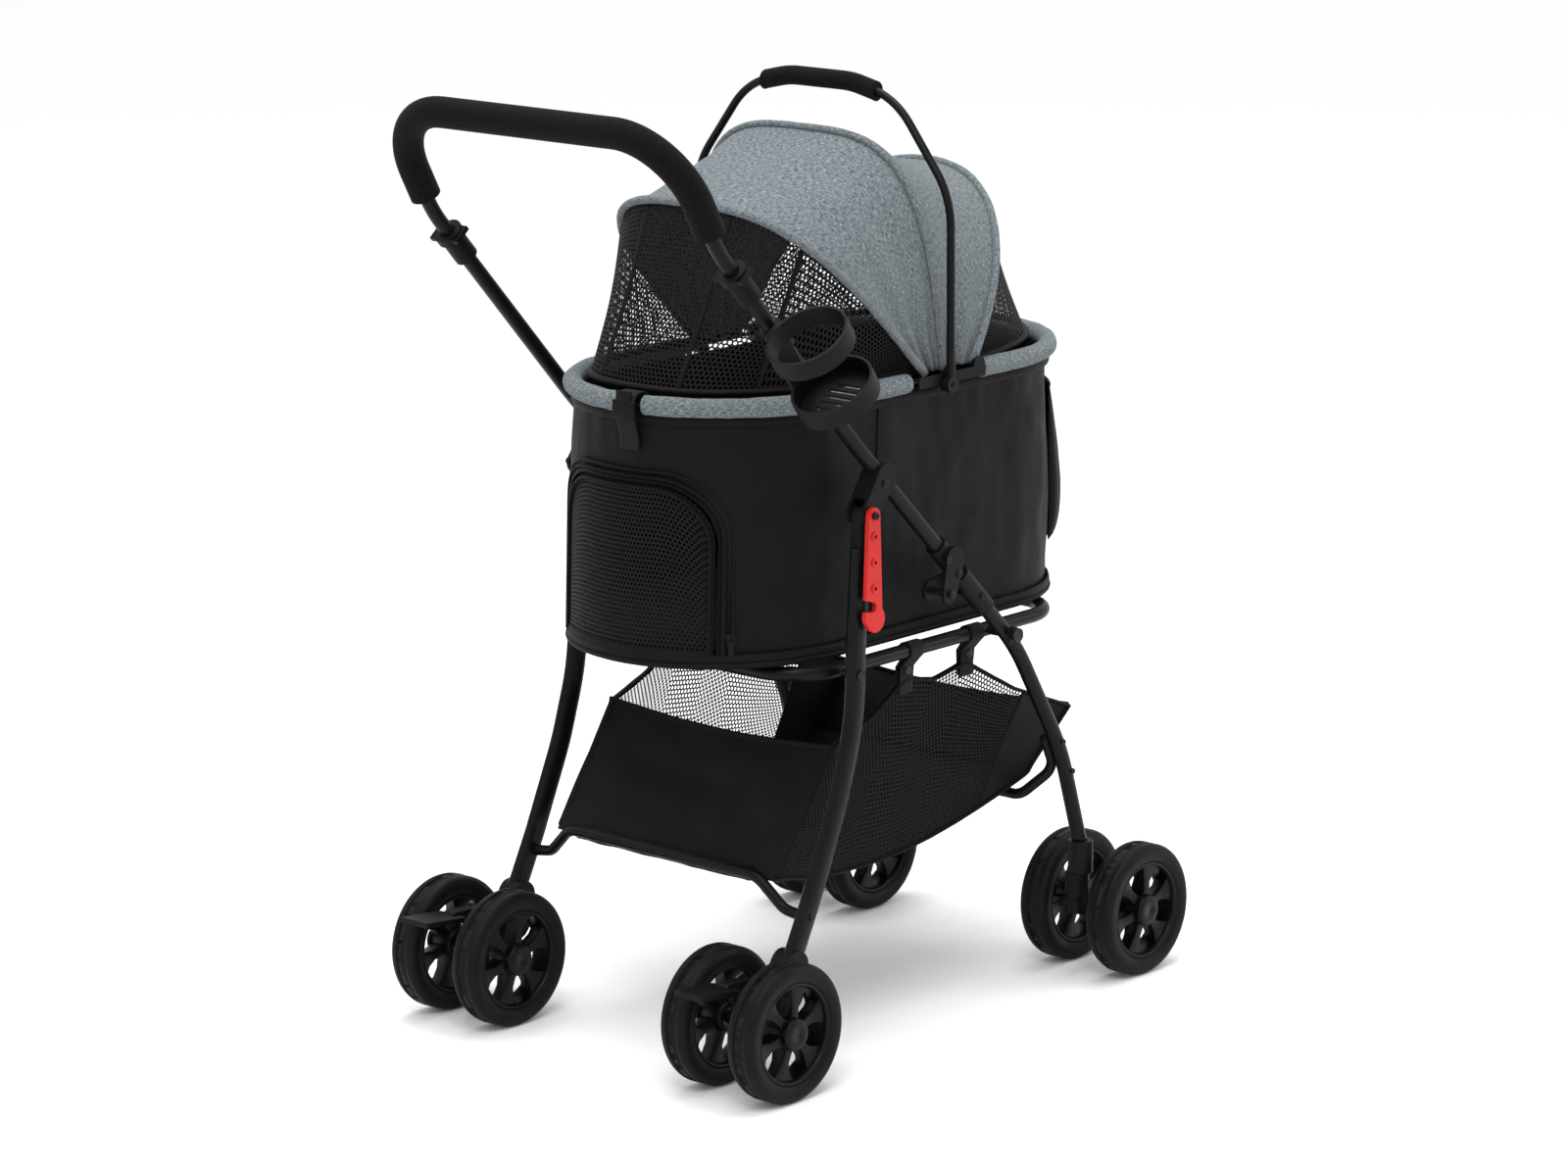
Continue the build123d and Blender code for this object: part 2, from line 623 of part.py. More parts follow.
def main():
    for side, word in SIDES:
        emit(f"handle_tube_{word}", handle_side(side))
        emit(f"pull_collar_{word}", collar(side))
        emit(f"front_leg_{word}", front_leg(side))
        emit(f"rear_leg_{word}", rear_leg(side))
        emit(f"brake_pedal_{word}", brake_pedal(side))
        emit(f"caster_{word}", caster(side))
        emit(f"front_axle_{word}", axle(WHEELBASE, side * FRONT_PAIR_Y))
        for name, offset in (("outer", side * TWIN_GAP), ("inner", -side * TWIN_GAP)):
            emit(f"rear_wheel_{word}_{name}", *wheel(0, side * REAR_PAIR_Y + offset))
            emit(f"front_wheel_{word}_{name}", *wheel(WHEELBASE, side * FRONT_PAIR_Y + offset))
    emit("grip_bar", grip_bar())
    emit("grip_foam", grip_foam())
    emit("leg_brackets", *[leg_bracket(s) for s, _ in SIDES])
    emit("leg_pivot_pins", *[leg_pin(s) for s, _ in SIDES])
    emit("fold_sleeves", *[fold_sleeve(s) for s, _ in SIDES])
    emit("fold_housings", *[fold_housing(s) for s, _ in SIDES])
    emit("fold_pins", *[fold_pin(s) for s, _ in SIDES])
    emit("loop_studs", *[loop_stud(s) for s, _ in SIDES])
    emit("caster_sockets", *[caster_socket(s) for s, _ in SIDES])
    emit("front_cross_bar", front_cross_bar())
    emit("support_loop", support_loop())
    emit("loop_pivot_pins", *[loop_pivot_pin(s) for s, _ in SIDES])
    emit("rear_cross_bar", rear_cross_bar())
    emit("rear_housings", *[rear_housing(s) for s, _ in SIDES])
    emit("rear_axles", *[axle(0, s * REAR_PAIR_Y) for s, _ in SIDES])
    emit("cup_holder", cup_holder())
    emit("cup_clamp", cup_clamp())
    emit("base_board", base_board())
    emit("tub_wall", tub_wall())
    emit("rear_door", rear_door())
    emit("rim_wire", rim_wire())
    emit("rim_sleeve", rim_sleeve())
    emit("sleeping_pad", pad())
    emit("rear_hoop", rear_hoop())
    emit("mid_hoop", mid_hoop())
    emit("front_hoop", hoop_rod(FRONT_HOOP))
    emit("bail_rod", bail_rod())
    emit("bail_foam", bail_foam())
    emit("red_hook", red_hook())
    emit("hood_hinges", *[hinge_block(s) for s, _ in SIDES])
    emit("hood_rear_panel", hood_shell(turned(REAR_HOOP, 0), turned(MID_HOOP, 1)))
    emit("hood_front_panel", hood_shell(turned(MID_HOOP, -1), turned(FRONT_HOOP, 1)))
    emit("rear_mesh", hood_shell(turned(REAR_HOOP, 2), RIM_REAR, RIM_SHRINK))
    emit("front_mesh", hood_shell(turned(FRONT_HOOP, -1), RIM_FRONT, RIM_SHRINK))
    emit("front_pocket", front_pocket())
    emit("rim_strap", rim_strap())
    emit("zip_slider", zip_slider())
    emit("basket", basket())


main()
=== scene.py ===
"""Looks of the folding pet stroller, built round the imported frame.

Shapes are written in millimetres in the drawing frame of the part: zero on the floor
under the rear axle, +X forward, +Y left, +Z up. place() turns them into the frame's
metres, from where the rear axles lie.
"""

import json
import math

import bmesh
import bpy
import numpy as np
from mathutils import Matrix, Vector, noise


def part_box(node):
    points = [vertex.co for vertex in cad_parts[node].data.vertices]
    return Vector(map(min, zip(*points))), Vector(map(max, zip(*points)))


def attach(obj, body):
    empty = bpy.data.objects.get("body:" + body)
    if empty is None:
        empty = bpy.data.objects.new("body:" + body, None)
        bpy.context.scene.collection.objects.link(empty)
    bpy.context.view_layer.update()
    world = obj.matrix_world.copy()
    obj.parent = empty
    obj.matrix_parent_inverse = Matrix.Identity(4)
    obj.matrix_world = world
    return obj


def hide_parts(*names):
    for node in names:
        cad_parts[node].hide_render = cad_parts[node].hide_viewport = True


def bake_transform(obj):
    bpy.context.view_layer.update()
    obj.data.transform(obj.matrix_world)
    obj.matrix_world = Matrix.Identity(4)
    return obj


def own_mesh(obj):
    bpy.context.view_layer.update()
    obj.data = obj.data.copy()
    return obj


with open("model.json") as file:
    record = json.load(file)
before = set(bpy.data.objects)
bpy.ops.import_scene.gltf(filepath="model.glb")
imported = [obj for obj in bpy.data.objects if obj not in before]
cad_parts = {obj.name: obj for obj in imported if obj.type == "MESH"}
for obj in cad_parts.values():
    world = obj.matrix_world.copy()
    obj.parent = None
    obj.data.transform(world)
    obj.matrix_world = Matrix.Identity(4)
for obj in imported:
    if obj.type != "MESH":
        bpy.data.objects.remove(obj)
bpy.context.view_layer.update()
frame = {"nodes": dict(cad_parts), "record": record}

WHEEL_R = 75.0
AXLE_LOW, AXLE_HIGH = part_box("rear_axles")
ZERO = Vector(((AXLE_LOW.x + AXLE_HIGH.x) / 2, (AXLE_LOW.y + AXLE_HIGH.y) / 2, 0.0))

# ---- shared dimensions, in millimetres ----------------------------------------------
SIDE_Y = 204.0
CARRIER_X = (25.0, 640.0)
CARRIER_HALF = 165.0
ROUND_X = (CARRIER_X[0] + CARRIER_HALF, CARRIER_X[1] - CARRIER_HALF)    # centres of the ends
BASE_Z, WALL_Z0, RIM_Z = 430.0, 436.0, 709.0
BASE_REAR = 15.0            # how far the tub's foot stands out behind its rim
HOOD_AXIS = (352.0, 0.0, 716.0)
HOOD_HALF = 167.0
# hoop: foot x, lean from +X in degrees, height along the lean, squareness
REAR_HOOP = (322.0, 135.0, 270.0, 3.1)
MID_HOOP = (352.0, 98.0, 254.0, 3.5)
FRONT_HOOP = (400.0, 58.0, 228.0, 2.25)
RIM_REAR = (314.0, 178.5, 284.0, 2.55)
RIM_FRONT = (408.0, 1.5, 225.0, 2.15)
RIM_INSET = 14.5            # the hood's meshes end inside the rim's sleeve
SLEEVE_GAP = (296.0, 414.0)
STRAP_ANGLE, STRAP_Y = math.radians(186), -17.0
DOOR_HALF, DOOR_Z = 108.0, (442.0, 628.0)
BASKET_HALF = 166.0
LOOP_Y, LOOP_Z = 176.0, 420.0
FRONT_PAIR_Y = 200.0


# ---- mesh helpers -------------------------------------------------------------------
def place(points):
    """Drawing millimetres to frame metres."""
    return np.asarray(points, float) / 1000.0 + np.array(ZERO)


def new_piece(name, points, faces, material, body, uv=None, smooth=True):
    """A mesh piece that rides on a body; uv holds one pair in metres for each point."""
    mesh = bpy.data.meshes.new(name)
    mesh.from_pydata(place(points).tolist(), [], faces)
    mesh.validate()
    if uv is not None:
        layer = mesh.uv_layers.new(name="cloth")
        loops = np.empty(len(mesh.loops), np.int32)
        mesh.loops.foreach_get("vertex_index", loops)
        layer.data.foreach_set("uv", np.asarray(uv, np.float32)[loops].ravel())
    obj = bpy.data.objects.new(name, mesh)
    bpy.context.collection.objects.link(obj)
    mesh.materials.append(material)
    if smooth:
        mesh.shade_smooth()
    if body:
        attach(obj, body)
    return obj


def modify(obj, kind, **settings):
    modifier = obj.modifiers.new(kind.lower(), kind)
    for key, value in settings.items():
        setattr(modifier, key, value)
    return modifier


def bake_modifiers(obj):
    """Replace the mesh with what its modifiers make of it."""
    bpy.context.view_layer.update()
    graph = bpy.context.evaluated_depsgraph_get()
    mesh = bpy.data.meshes.new_from_object(obj.evaluated_get(graph))
    obj.modifiers.clear()
    obj.data = mesh


def thicken(obj, thickness):
    modify(obj, "SOLIDIFY", thickness=thickness / 1000.0, offset=0.0)
    bake_modifiers(obj)
    return obj


def grid_faces(rows, cols, closed=False):
    span = cols if closed else cols - 1
    faces = []
    for r in range(rows - 1):
        for c in range(span):
            d = (c + 1) % cols
            faces.append((r * cols + c, r * cols + d, (r + 1) * cols + d, (r + 1) * cols + c))
    return faces


def as_floats(u, v):
    return np.asarray(u, float), np.asarray(v, float)


def unit_grid(cols, rows):
    return np.meshgrid(np.linspace(0, 1, cols), np.linspace(0, 1, rows))


def runs_of(surface):
    """Lengths of a surface's runs along u and along v, in metres."""
    p = surface(*unit_grid(60, 60)) / 1000
    return [np.linalg.norm(np.diff(p, axis=k), axis=2).sum(axis=k) for k in (1, 0)]


TOP_EDGE, FOOT_EDGE = (0, 1, 1, 1), (0, 0, 1, 0)      # u0, v0, u1, v1


def edge_of(surface, u0, v0, u1, v1, count=60):
    """Points of a surface along a straight line in u and v."""
    t = np.linspace(0, 1, count)
    return surface(u0 + (u1 - u0) * t, v0 + (v1 - v0) * t)


def surface_lengths(surface):
    return [float(run.mean()) for run in runs_of(surface)]


def declare_sheet(surface):
    """The widest and longest runs of a sewn panel, measured and then dropped."""
    width, length = (run.max() for run in runs_of(surface))


def cloth_sheet(name, surface, cols, rows, material, body, thickness=1.2):
    """A smooth cloth panel over surface(u, v)."""
    u, v = unit_grid(cols, rows)
    points = surface(u, v).reshape(-1, 3)
    width, length = surface_lengths(surface)
    uv = np.stack([u.ravel() * width, v.ravel() * length], 1)
    obj = new_piece(name, points, grid_faces(rows, cols), material, body, uv)
    return thicken(obj, thickness)


MESH_THICKNESS = 0.6
HEX = ((0, 2 / 3), (0.5, 1 / 3), (0.5, -1 / 3), (0, -2 / 3), (-0.5, -1 / 3), (-0.5, 1 / 3))


def span_of(surface, u0, u1):
    """The part of a surface between two shares of its width."""
    return lambda u, v: surface(u0 + np.asarray(u, float) * (u1 - u0), v)


def holed_sheet(name, surface, pitch, material, body, hole=0.66):
    """A knitted mesh over surface(u, v): staggered six-sided cells with open holes."""
    width, length = surface_lengths(surface)
    cols = max(4, round(width * 1000 / pitch))
    rows = max(3, round(length * 1000 / (pitch * 0.87)))
    keys, points, faces = {}, [], []

    def vertex(a, b, tag):
        key = (round(a * 1000), round(b * 1000), tag)
        if key not in keys:
            keys[key] = len(points)
            points.append((min(max(a / cols, 0), 1), min(max(b / rows, 0), 1)))
        return keys[key]

    for r in range(rows + 1):
        for c in range(cols + 1):
            cx, cy = c + 0.5 * (r % 2), float(r)
            outer = [vertex(cx + x, cy + y, 0) for x, y in HEX]
            inner = [vertex(cx + x * hole, cy + y * hole, 1) for x, y in HEX]
            for k in range(6):
                m = (k + 1) % 6
                faces.append((outer[k], outer[m], inner[m], inner[k]))
    flat = np.array(points)
    solid = surface(flat[:, 0], flat[:, 1])
    obj = new_piece(name, solid, faces, material, body, flat * (width, length), smooth=False)
    clean(obj)
    return thicken(obj, MESH_THICKNESS)


def clean(obj):
    """Drop the flattened faces that a sheet's edge leaves."""
    distance, least_area = 0.00002, 1e-9
    work = bmesh.new()
    work.from_mesh(obj.data)
    bmesh.ops.remove_doubles(work, verts=work.verts, dist=distance)
    bmesh.ops.dissolve_degenerate(work, edges=work.edges, dist=distance)
    bad = [f for f in work.faces if f.calc_area() < least_area]
    bmesh.ops.delete(work, geom=bad, context="FACES")
    loose = [v for v in work.verts if not v.link_faces]
    bmesh.ops.delete(work, geom=loose, context="VERTS")
    work.to_mesh(obj.data)
    work.free()


def even_line(points, count, closed=False):
    """The line with points spaced evenly."""
    line = np.asarray(points, float)
    if closed:
        line = np.vstack([line, line[:1]])
    steps = np.r_[0, np.cumsum(np.linalg.norm(np.diff(line, axis=0), axis=1))]
    at = np.linspace(0, steps[-1], count, endpoint=not closed)
    return np.stack([np.interp(at, steps, line[:, k]) for k in range(3)], 1)


def tube(name, line, radius, material, body, closed=False, sides=12, flat=1.0, lumps=0.0, up=(0, 0, 1)):
    """A round or flattened roll along a line, with its ends capped."""
    line = np.asarray(line, float)
    count = len(line)
    if closed:
        ahead = np.roll(line, -1, axis=0) - np.roll(line, 1, axis=0)
    else:
        ahead = np.gradient(line, axis=0)
    ahead /= np.linalg.norm(ahead, axis=1)[:, None]
    side = np.cross(ahead, np.array(up, float))
    side /= np.maximum(np.linalg.norm(side, axis=1), 1e-6)[:, None]
    top = np.cross(side, ahead)
    angles = np.linspace(0, 2 * math.pi, sides, endpoint=False)
    rings = []
    for i in range(count):
        swell = 1 + lumps * noise.noise(Vector(line[i]) / 22.0)
        wide, tall = swell * radius * flat * side[i], swell * radius * top[i]
        rings.append([line[i] + math.cos(a) * wide + math.sin(a) * tall for a in angles])
    points = np.array(rings).reshape(-1, 3)
    faces = grid_faces(count, sides, closed=True)
    if closed:
        last = (count - 1) * sides
        faces += [(last + s, last + (s + 1) % sides, (s + 1) % sides, s) for s in range(sides)]
    else:
        faces += [tuple(range(sides))[::-1], tuple(range((count - 1) * sides, count * sides))]
    run = np.r_[0, np.cumsum(np.linalg.norm(np.diff(line, axis=0), axis=1))] / 1000
    uv = np.stack([np.repeat(run, sides), np.tile(angles * radius / 1000, count)], 1)
    return new_piece(name, points, faces, material, body, uv)


def lathe(name, profile, centre, material, body, steps=72):
    """A closed ring of revolution about the Y line through centre; profile is (radius, y)."""
    angles = np.linspace(0, 2 * math.pi, steps, endpoint=False)
    points = [(centre[0] + r * math.cos(a), centre[1] + y, centre[2] + r * math.sin(a))
              for a in angles for r, y in profile]
    cols = len(profile)
    faces = grid_faces(steps, cols, closed=True)
    last = (steps - 1) * cols
    faces += [(last + c, last + (c + 1) % cols, (c + 1) % cols, c) for c in range(cols)]
    obj = new_piece(name, points, faces, material, body)
    fix_normals(obj)
    return obj


def fix_normals(obj):
    work = bmesh.new()
    work.from_mesh(obj.data)
    bmesh.ops.recalc_face_normals(work, faces=work.faces)
    work.to_mesh(obj.data)
    work.free()


BOX_CORNERS = [(x, y, z) for x in (-1, 1) for y in (-1, 1) for z in (-1, 1)]
BOX_FACES = ((0, 1, 3, 2), (4, 6, 7, 5), (0, 4, 5, 1), (2, 3, 7, 6), (0, 2, 6, 4), (1, 5, 7, 3))


def box_piece(name, centre, size, material, body, bevel, turn):
    """A small moulded block."""
    half = np.array(size, float) / 2
    corners = np.array(BOX_CORNERS) * half
    corners = corners @ np.array(turn.to_3x3()).T
    obj = new_piece(name, corners + np.array(centre, float), BOX_FACES, material, body)
    fix_normals(obj)
    modify(obj, "BEVEL", width=bevel / 1000, segments=3)
    bake_modifiers(obj)
    return obj


# ---- node materials -----------------------------------------------------------------
class Shader:
    """A material with one Principled shader and short calls to add nodes."""

    def __init__(self, name, roughness, specular, metallic=0.0, sheen=0.0):
        self.material = bpy.data.materials.new(name)
        self.material.use_nodes = True
        self.tree = self.material.node_tree
        self.shader = self.tree.nodes["Principled BSDF"]
        self.shader.inputs["Roughness"].default_value = roughness
        self.shader.inputs["Metallic"].default_value = metallic
        self.shader.inputs["Sheen Weight"].default_value = sheen
        self.shader.inputs["Sheen Roughness"].default_value = 0.5
        self.shader.inputs["Specular IOR Level"].default_value = specular
        self.coords = self.tree.nodes.new("ShaderNodeTexCoord")

    def node(self, kind, inputs=None, **settings):
        made = self.tree.nodes.new(kind)
        for key, value in settings.items():
            setattr(made, key, value)
        for key, value in (inputs or {}).items():
            if isinstance(value, bpy.types.NodeSocket):
                self.tree.links.new(value, made.inputs[key])
            else:
                made.inputs[key].default_value = value
        return made

    def stretched(self, scale, socket="Object"):
        inputs = {"Vector": self.coords.outputs[socket], "Scale": scale}
        return self.node("ShaderNodeMapping", inputs).outputs[0]

    def noise(self, scale, detail=3.0, vector=None, rough=0.5):
        inputs = {"Vector": vector or self.coords.outputs["Object"], "Scale": scale,
                  "Detail": detail, "Roughness": rough}
        return self.node("ShaderNodeTexNoise", inputs).outputs["Fac"]

    def voronoi(self, scale):
        made = self.node("ShaderNodeTexVoronoi", {"Vector": self.coords.outputs["Object"], "Scale": scale})
        return made.outputs["Distance"]

    def ramp(self, value, stops):
        made = self.node("ShaderNodeValToRGB", {"Fac": value})
        elements = made.color_ramp.elements
        while len(elements) < len(stops):
            elements.new(0.5)
        for element, (at, colour) in zip(elements, stops):
            element.position = at
            element.color = (*colour, 1)
        return made.outputs["Color"]

    def math(self, kind, a, b=0.0):
        return self.node("ShaderNodeMath", {0: a, 1: b}, operation=kind).outputs[0]

    def mix(self, factor, a, b):
        made = self.node("ShaderNodeMix", {"Factor": factor}, data_type="RGBA")
        for key, value in ((6, a), (7, b)):
            if isinstance(value, bpy.types.NodeSocket):
                self.tree.links.new(value, made.inputs[key])
            else:
                made.inputs[key].default_value = (*value, 1)
        return made.outputs[2]

    def set_colour(self, socket):
        self.tree.links.new(socket, self.shader.inputs["Base Color"])

    def set_roughness(self, value, low, high):
        made = self.node("ShaderNodeMapRange", {"Value": value, "To Min": low, "To Max": high})
        self.tree.links.new(made.outputs[0], self.shader.inputs["Roughness"])

    def set_bump(self, height, strength, distance):
        normal = self.shader.inputs["Normal"].links
        inputs = {"Height": height, "Strength": strength, "Distance": distance}
        if normal:
            inputs["Normal"] = normal[0].from_socket
        bump = self.node("ShaderNodeBump", inputs)
        self.tree.links.new(bump.outputs[0], self.shader.inputs["Normal"])

    def edge_wear(self):
        """Lighter where the surface turns sharply outward."""
        point = self.node("ShaderNodeNewGeometry").outputs["Pointiness"]
        made = self.node("ShaderNodeMapRange", {"Value": point, "From Min": 0.52, "From Max": 0.6})
        return made.outputs[0]


def powder_coat():
    m = Shader("powder_coat_black", roughness=0.34, specular=0.12)
    speck = m.noise(900, 2)
    base = m.ramp(m.noise(35, 4), [(0.3, (0.0022, 0.0022, 0.0024)), (0.75, (0.0042, 0.0042, 0.0044))])
    m.set_colour(m.mix(m.math("MULTIPLY", m.edge_wear(), 0.4), base, (0.011, 0.011, 0.011)))
    m.set_roughness(m.noise(60, 4), 0.26, 0.44)
    m.set_bump(speck, 0.12, 0.0004)
    return m.material


def moulded_plastic(name, tone, low=0.38, high=0.58, specular=0.1):
    m = Shader(name, roughness=0.5, specular=specular)
    base = m.ramp(m.noise(28, 4), [(0.3, tuple(c * 0.8 for c in tone)), (0.7, tuple(c * 1.25 for c in tone))])
    worn = tuple(c * 1.5 + 0.003 for c in tone)
    m.set_colour(m.mix(m.math("MULTIPLY", m.edge_wear(), 0.6), base, worn))
    m.set_roughness(m.noise(90, 3), low, high)
    m.set_bump(m.noise(1400, 2), 0.18, 0.0003)
    return m.material


def dark_steel():
    m = Shader("black_oxide_steel", roughness=0.35, metallic=0.6, specular=0.2)
    m.set_colour(m.ramp(m.noise(80, 4), [(0.3, (0.008, 0.008, 0.009)), (0.75, (0.03, 0.03, 0.032))]))
    m.set_roughness(m.noise(220, 3), 0.25, 0.5)
    m.set_bump(m.noise(600, 3), 0.1, 0.0002)
    return m.material


def tyre_rubber():
    m = Shader("tyre_rubber", roughness=0.55, specular=0.12)
    dusty = m.ramp(m.noise(24, 5), [(0.35, (0.0024, 0.0024, 0.0026)), (0.8, (0.0052, 0.0050, 0.0049))])
    m.set_colour(dusty)
    m.set_roughness(m.noise(40, 5), 0.42, 0.66)
    m.set_bump(m.noise(700, 4), 0.25, 0.0005)
    return m.material


def grip_foam():
    m = Shader("grip_foam", roughness=0.9, sheen=0.02, specular=0.08)
    m.set_colour(m.ramp(m.noise(300, 4), [(0.3, (0.0022, 0.0022, 0.0024)), (0.7, (0.005, 0.005, 0.0053))]))
    cells = m.voronoi(900)
    m.set_bump(cells, 0.35, 0.0006)
    m.set_bump(m.noise(60, 4), 0.2, 0.0012)
    return m.material


def heather_cloth():
    """Grey melange: light and dark threads cross in a plain weave."""
    m = Shader("heather_grey_cloth", roughness=0.9, sheen=0.05, specular=0.12)
    warp = m.noise(1.0, 2, m.stretched((1300, 170, 1), "UV"), 0.7)
    weft = m.noise(1.0, 2, m.stretched((170, 1300, 1), "UV"), 0.7)
    slub = m.noise(1.0, 1, m.stretched((180, 620, 1), "UV"), 0.6)
    threads = m.math("ADD", m.math("MULTIPLY", warp, 0.38), m.math("MULTIPLY", weft, 0.38))
    tone = m.math("ADD", threads, m.math("MULTIPLY", slub, 0.24))
    shades = [(0.40, (0.036, 0.044, 0.049)), (0.5, (0.120, 0.141, 0.153)), (0.60, (0.26, 0.285, 0.30))]
    m.set_colour(m.ramp(tone, shades))
    m.set_bump(weave(m, 1250), 0.45, 0.0005)
    m.set_bump(m.noise(1.0, 4, m.stretched((34, 34, 1), "UV")), 0.22, 0.0035)
    return m.material


def weave(m, scale, socket="UV"):
    """Height of a plain weave: two sets of threads over and under."""
    stretch = m.stretched((scale * math.pi, scale * math.pi, scale * math.pi), socket)
    parts = m.node("ShaderNodeSeparateXYZ", {0: stretch})
    across = m.math("SINE", parts.outputs[0])
    along = m.math("SINE", parts.outputs[1])
    return m.math("MULTIPLY", across, along)


def black_cloth(name="black_cloth", tone=0.0026, socket="UV", wrinkle=1.0):
    """Tight black polyester, with soft creases and a dull sheen."""
    m = Shader(name, roughness=0.55, sheen=0.01, specular=0.10)
    streak = m.noise(1.0, 3, m.stretched((900, 60, 60), socket), 0.7)
    m.set_colour(m.ramp(streak, [(0.3, (tone * 0.7,) * 3), (0.7, (tone * 1.5, tone * 1.5, tone * 1.6))]))
    m.set_roughness(m.noise(1.0, 3, m.stretched((20, 20, 20), socket)), 0.46, 0.7)
    m.set_bump(weave(m, 1400, socket), 0.3, 0.0004)
    m.set_bump(m.noise(1.0, 5, m.stretched((15, 7, 7), socket), 0.6), 0.35 * wrinkle, 0.006)
    return m.material


def mesh_yarn():
    m = Shader("black_mesh_yarn", roughness=0.6, sheen=0.01, specular=0.12)
    m.set_colour(m.ramp(m.noise(500, 3), [(0.3, (0.0016, 0.0016, 0.0018)), (0.7, (0.0042, 0.0042, 0.0045))]))
    m.set_bump(m.noise(2500, 2), 0.5, 0.0004)
    return m.material


def webbing():
    """Ribbed polyester tape."""
    m = Shader("black_webbing", roughness=0.6, sheen=0.02, specular=0.15)
    rib = m.math("SINE", m.node("ShaderNodeSeparateXYZ", {0: m.stretched((4200, 1, 1), "UV")}).outputs[0])
    m.set_colour(m.ramp(m.noise(350, 3), [(0.3, (0.002, 0.002, 0.0022)), (0.7, (0.0055, 0.0055, 0.006))]))
    m.set_bump(rib, 0.5, 0.0005)
    return m.material


def quilted_cloth():
    m = Shader("pad_cloth", roughness=0.85, sheen=0.05, specular=0.15)
    m.set_colour(m.ramp(m.noise(240, 4), [(0.3, (0.006, 0.0063, 0.007)), (0.7, (0.015, 0.016, 0.0175))]))
    m.set_bump(weave(m, 900, "Object"), 0.4, 0.0006)
    m.set_bump(m.noise(18, 3), 0.4, 0.006)
    return m.material


POWDER = powder_coat()
PLASTIC = moulded_plastic("black_moulded_plastic", (0.0026, 0.0026, 0.0028))
RED = moulded_plastic("red_moulded_plastic", (0.36, 0.005, 0.004), 0.28, 0.42, 0.25)
HUB = moulded_plastic("hub_plastic", (0.0022, 0.0022, 0.0024), 0.28, 0.46, 0.13)
STEEL = dark_steel()
RUBBER = tyre_rubber()
FOAM = grip_foam()
GREY = heather_cloth()
BLACK = black_cloth()
BINDING = black_cloth("black_binding", 0.0024, "UV", 0.3)
MESH = mesh_yarn()
WEBBING = webbing()
QUILT = quilted_cloth()

SLOT_MATERIAL = {
    "frame_paint": POWDER, "rivet_steel": STEEL, "black_plastic": PLASTIC, "hub_plastic": HUB,
    "tyre_foam": RUBBER, "grip_foam": FOAM, "black_cloth": BLACK, "grey_cloth": GREY,
    "black_mesh": MESH, "board": BINDING, "red_plastic": RED, "wire": POWDER,
}


def paint_cad_nodes():
    for entry in frame["record"]["subparts"]:
        node = frame["nodes"][entry["node"]]
        for material_slot in node.material_slots:
            material_slot.material = SLOT_MATERIAL[entry["material_slot"]]


# ---- curves that the carrier and hood share ------------------------------------------
def hoop_line(hoop, shrink=0.0, count=181):
    """Evenly spaced points of a hoop, from the left foot to the right foot."""
    foot, lean, height, square = hoop
    t = np.linspace(0, math.pi, 1200)
    power = 2 / square
    across = (HOOD_HALF - shrink) * np.abs(np.cos(t)) ** power * np.sign(np.cos(t))
    rise = (height - shrink) * np.abs(np.sin(t)) ** power
    x = foot + rise * math.cos(math.radians(lean))
    z = HOOD_AXIS[2] + rise * math.sin(math.radians(lean))
    return even_line(np.stack([x, across, z], 1), count)


def along(line, u):
    """Points of an evenly spaced line at shares u of its length."""
    at = np.clip(np.asarray(u, float), 0, 1) * (len(line) - 1)
    low = np.floor(at).astype(int)
    high = np.minimum(low + 1, len(line) - 1)
    share = (at - low)[..., None]
    return line[low] * (1 - share) + line[high] * share


def oval_line(z, grow=0.0, rear=0.0, count=720):
    """The carrier's plan, counter-clockwise from the middle of its rear end."""
    x0, x1, half = CARRIER_X[0] - grow, CARRIER_X[1] + grow, CARRIER_HALF + grow
    turn = np.linspace(0, math.pi, 200)
    back = [(x0 + half - half * math.sin(a), half * math.cos(a)) for a in turn]
    front = [(x1 - half + half * math.sin(a), -half * math.cos(a)) for a in turn]
    plan = np.array(back + front)
    pull = np.clip((x0 + half - plan[:, 0]) / half, 0, 1)
    plan[:, 0] -= rear * pull
    line = np.column_stack([plan, np.full(len(plan), z)])
    return even_line(line, count, closed=True)


def surface_noise(p, scale, size, seed=0.0):
    """Smooth noise for each point of an array, as offsets in millimetres."""
    flat = p.reshape(-1, 3)
    values = [noise.noise(Vector((q[0] / scale + seed, q[1] / scale, q[2] / scale))) for q in flat]
    return size * np.array(values).reshape(p.shape[:-1])


# ---- hood ---------------------------------------------------------------------------
REAR_SEAMS = (0.0, 0.3, 0.42, 0.58, 0.7, 1.0)     # where the rear mesh's panels meet


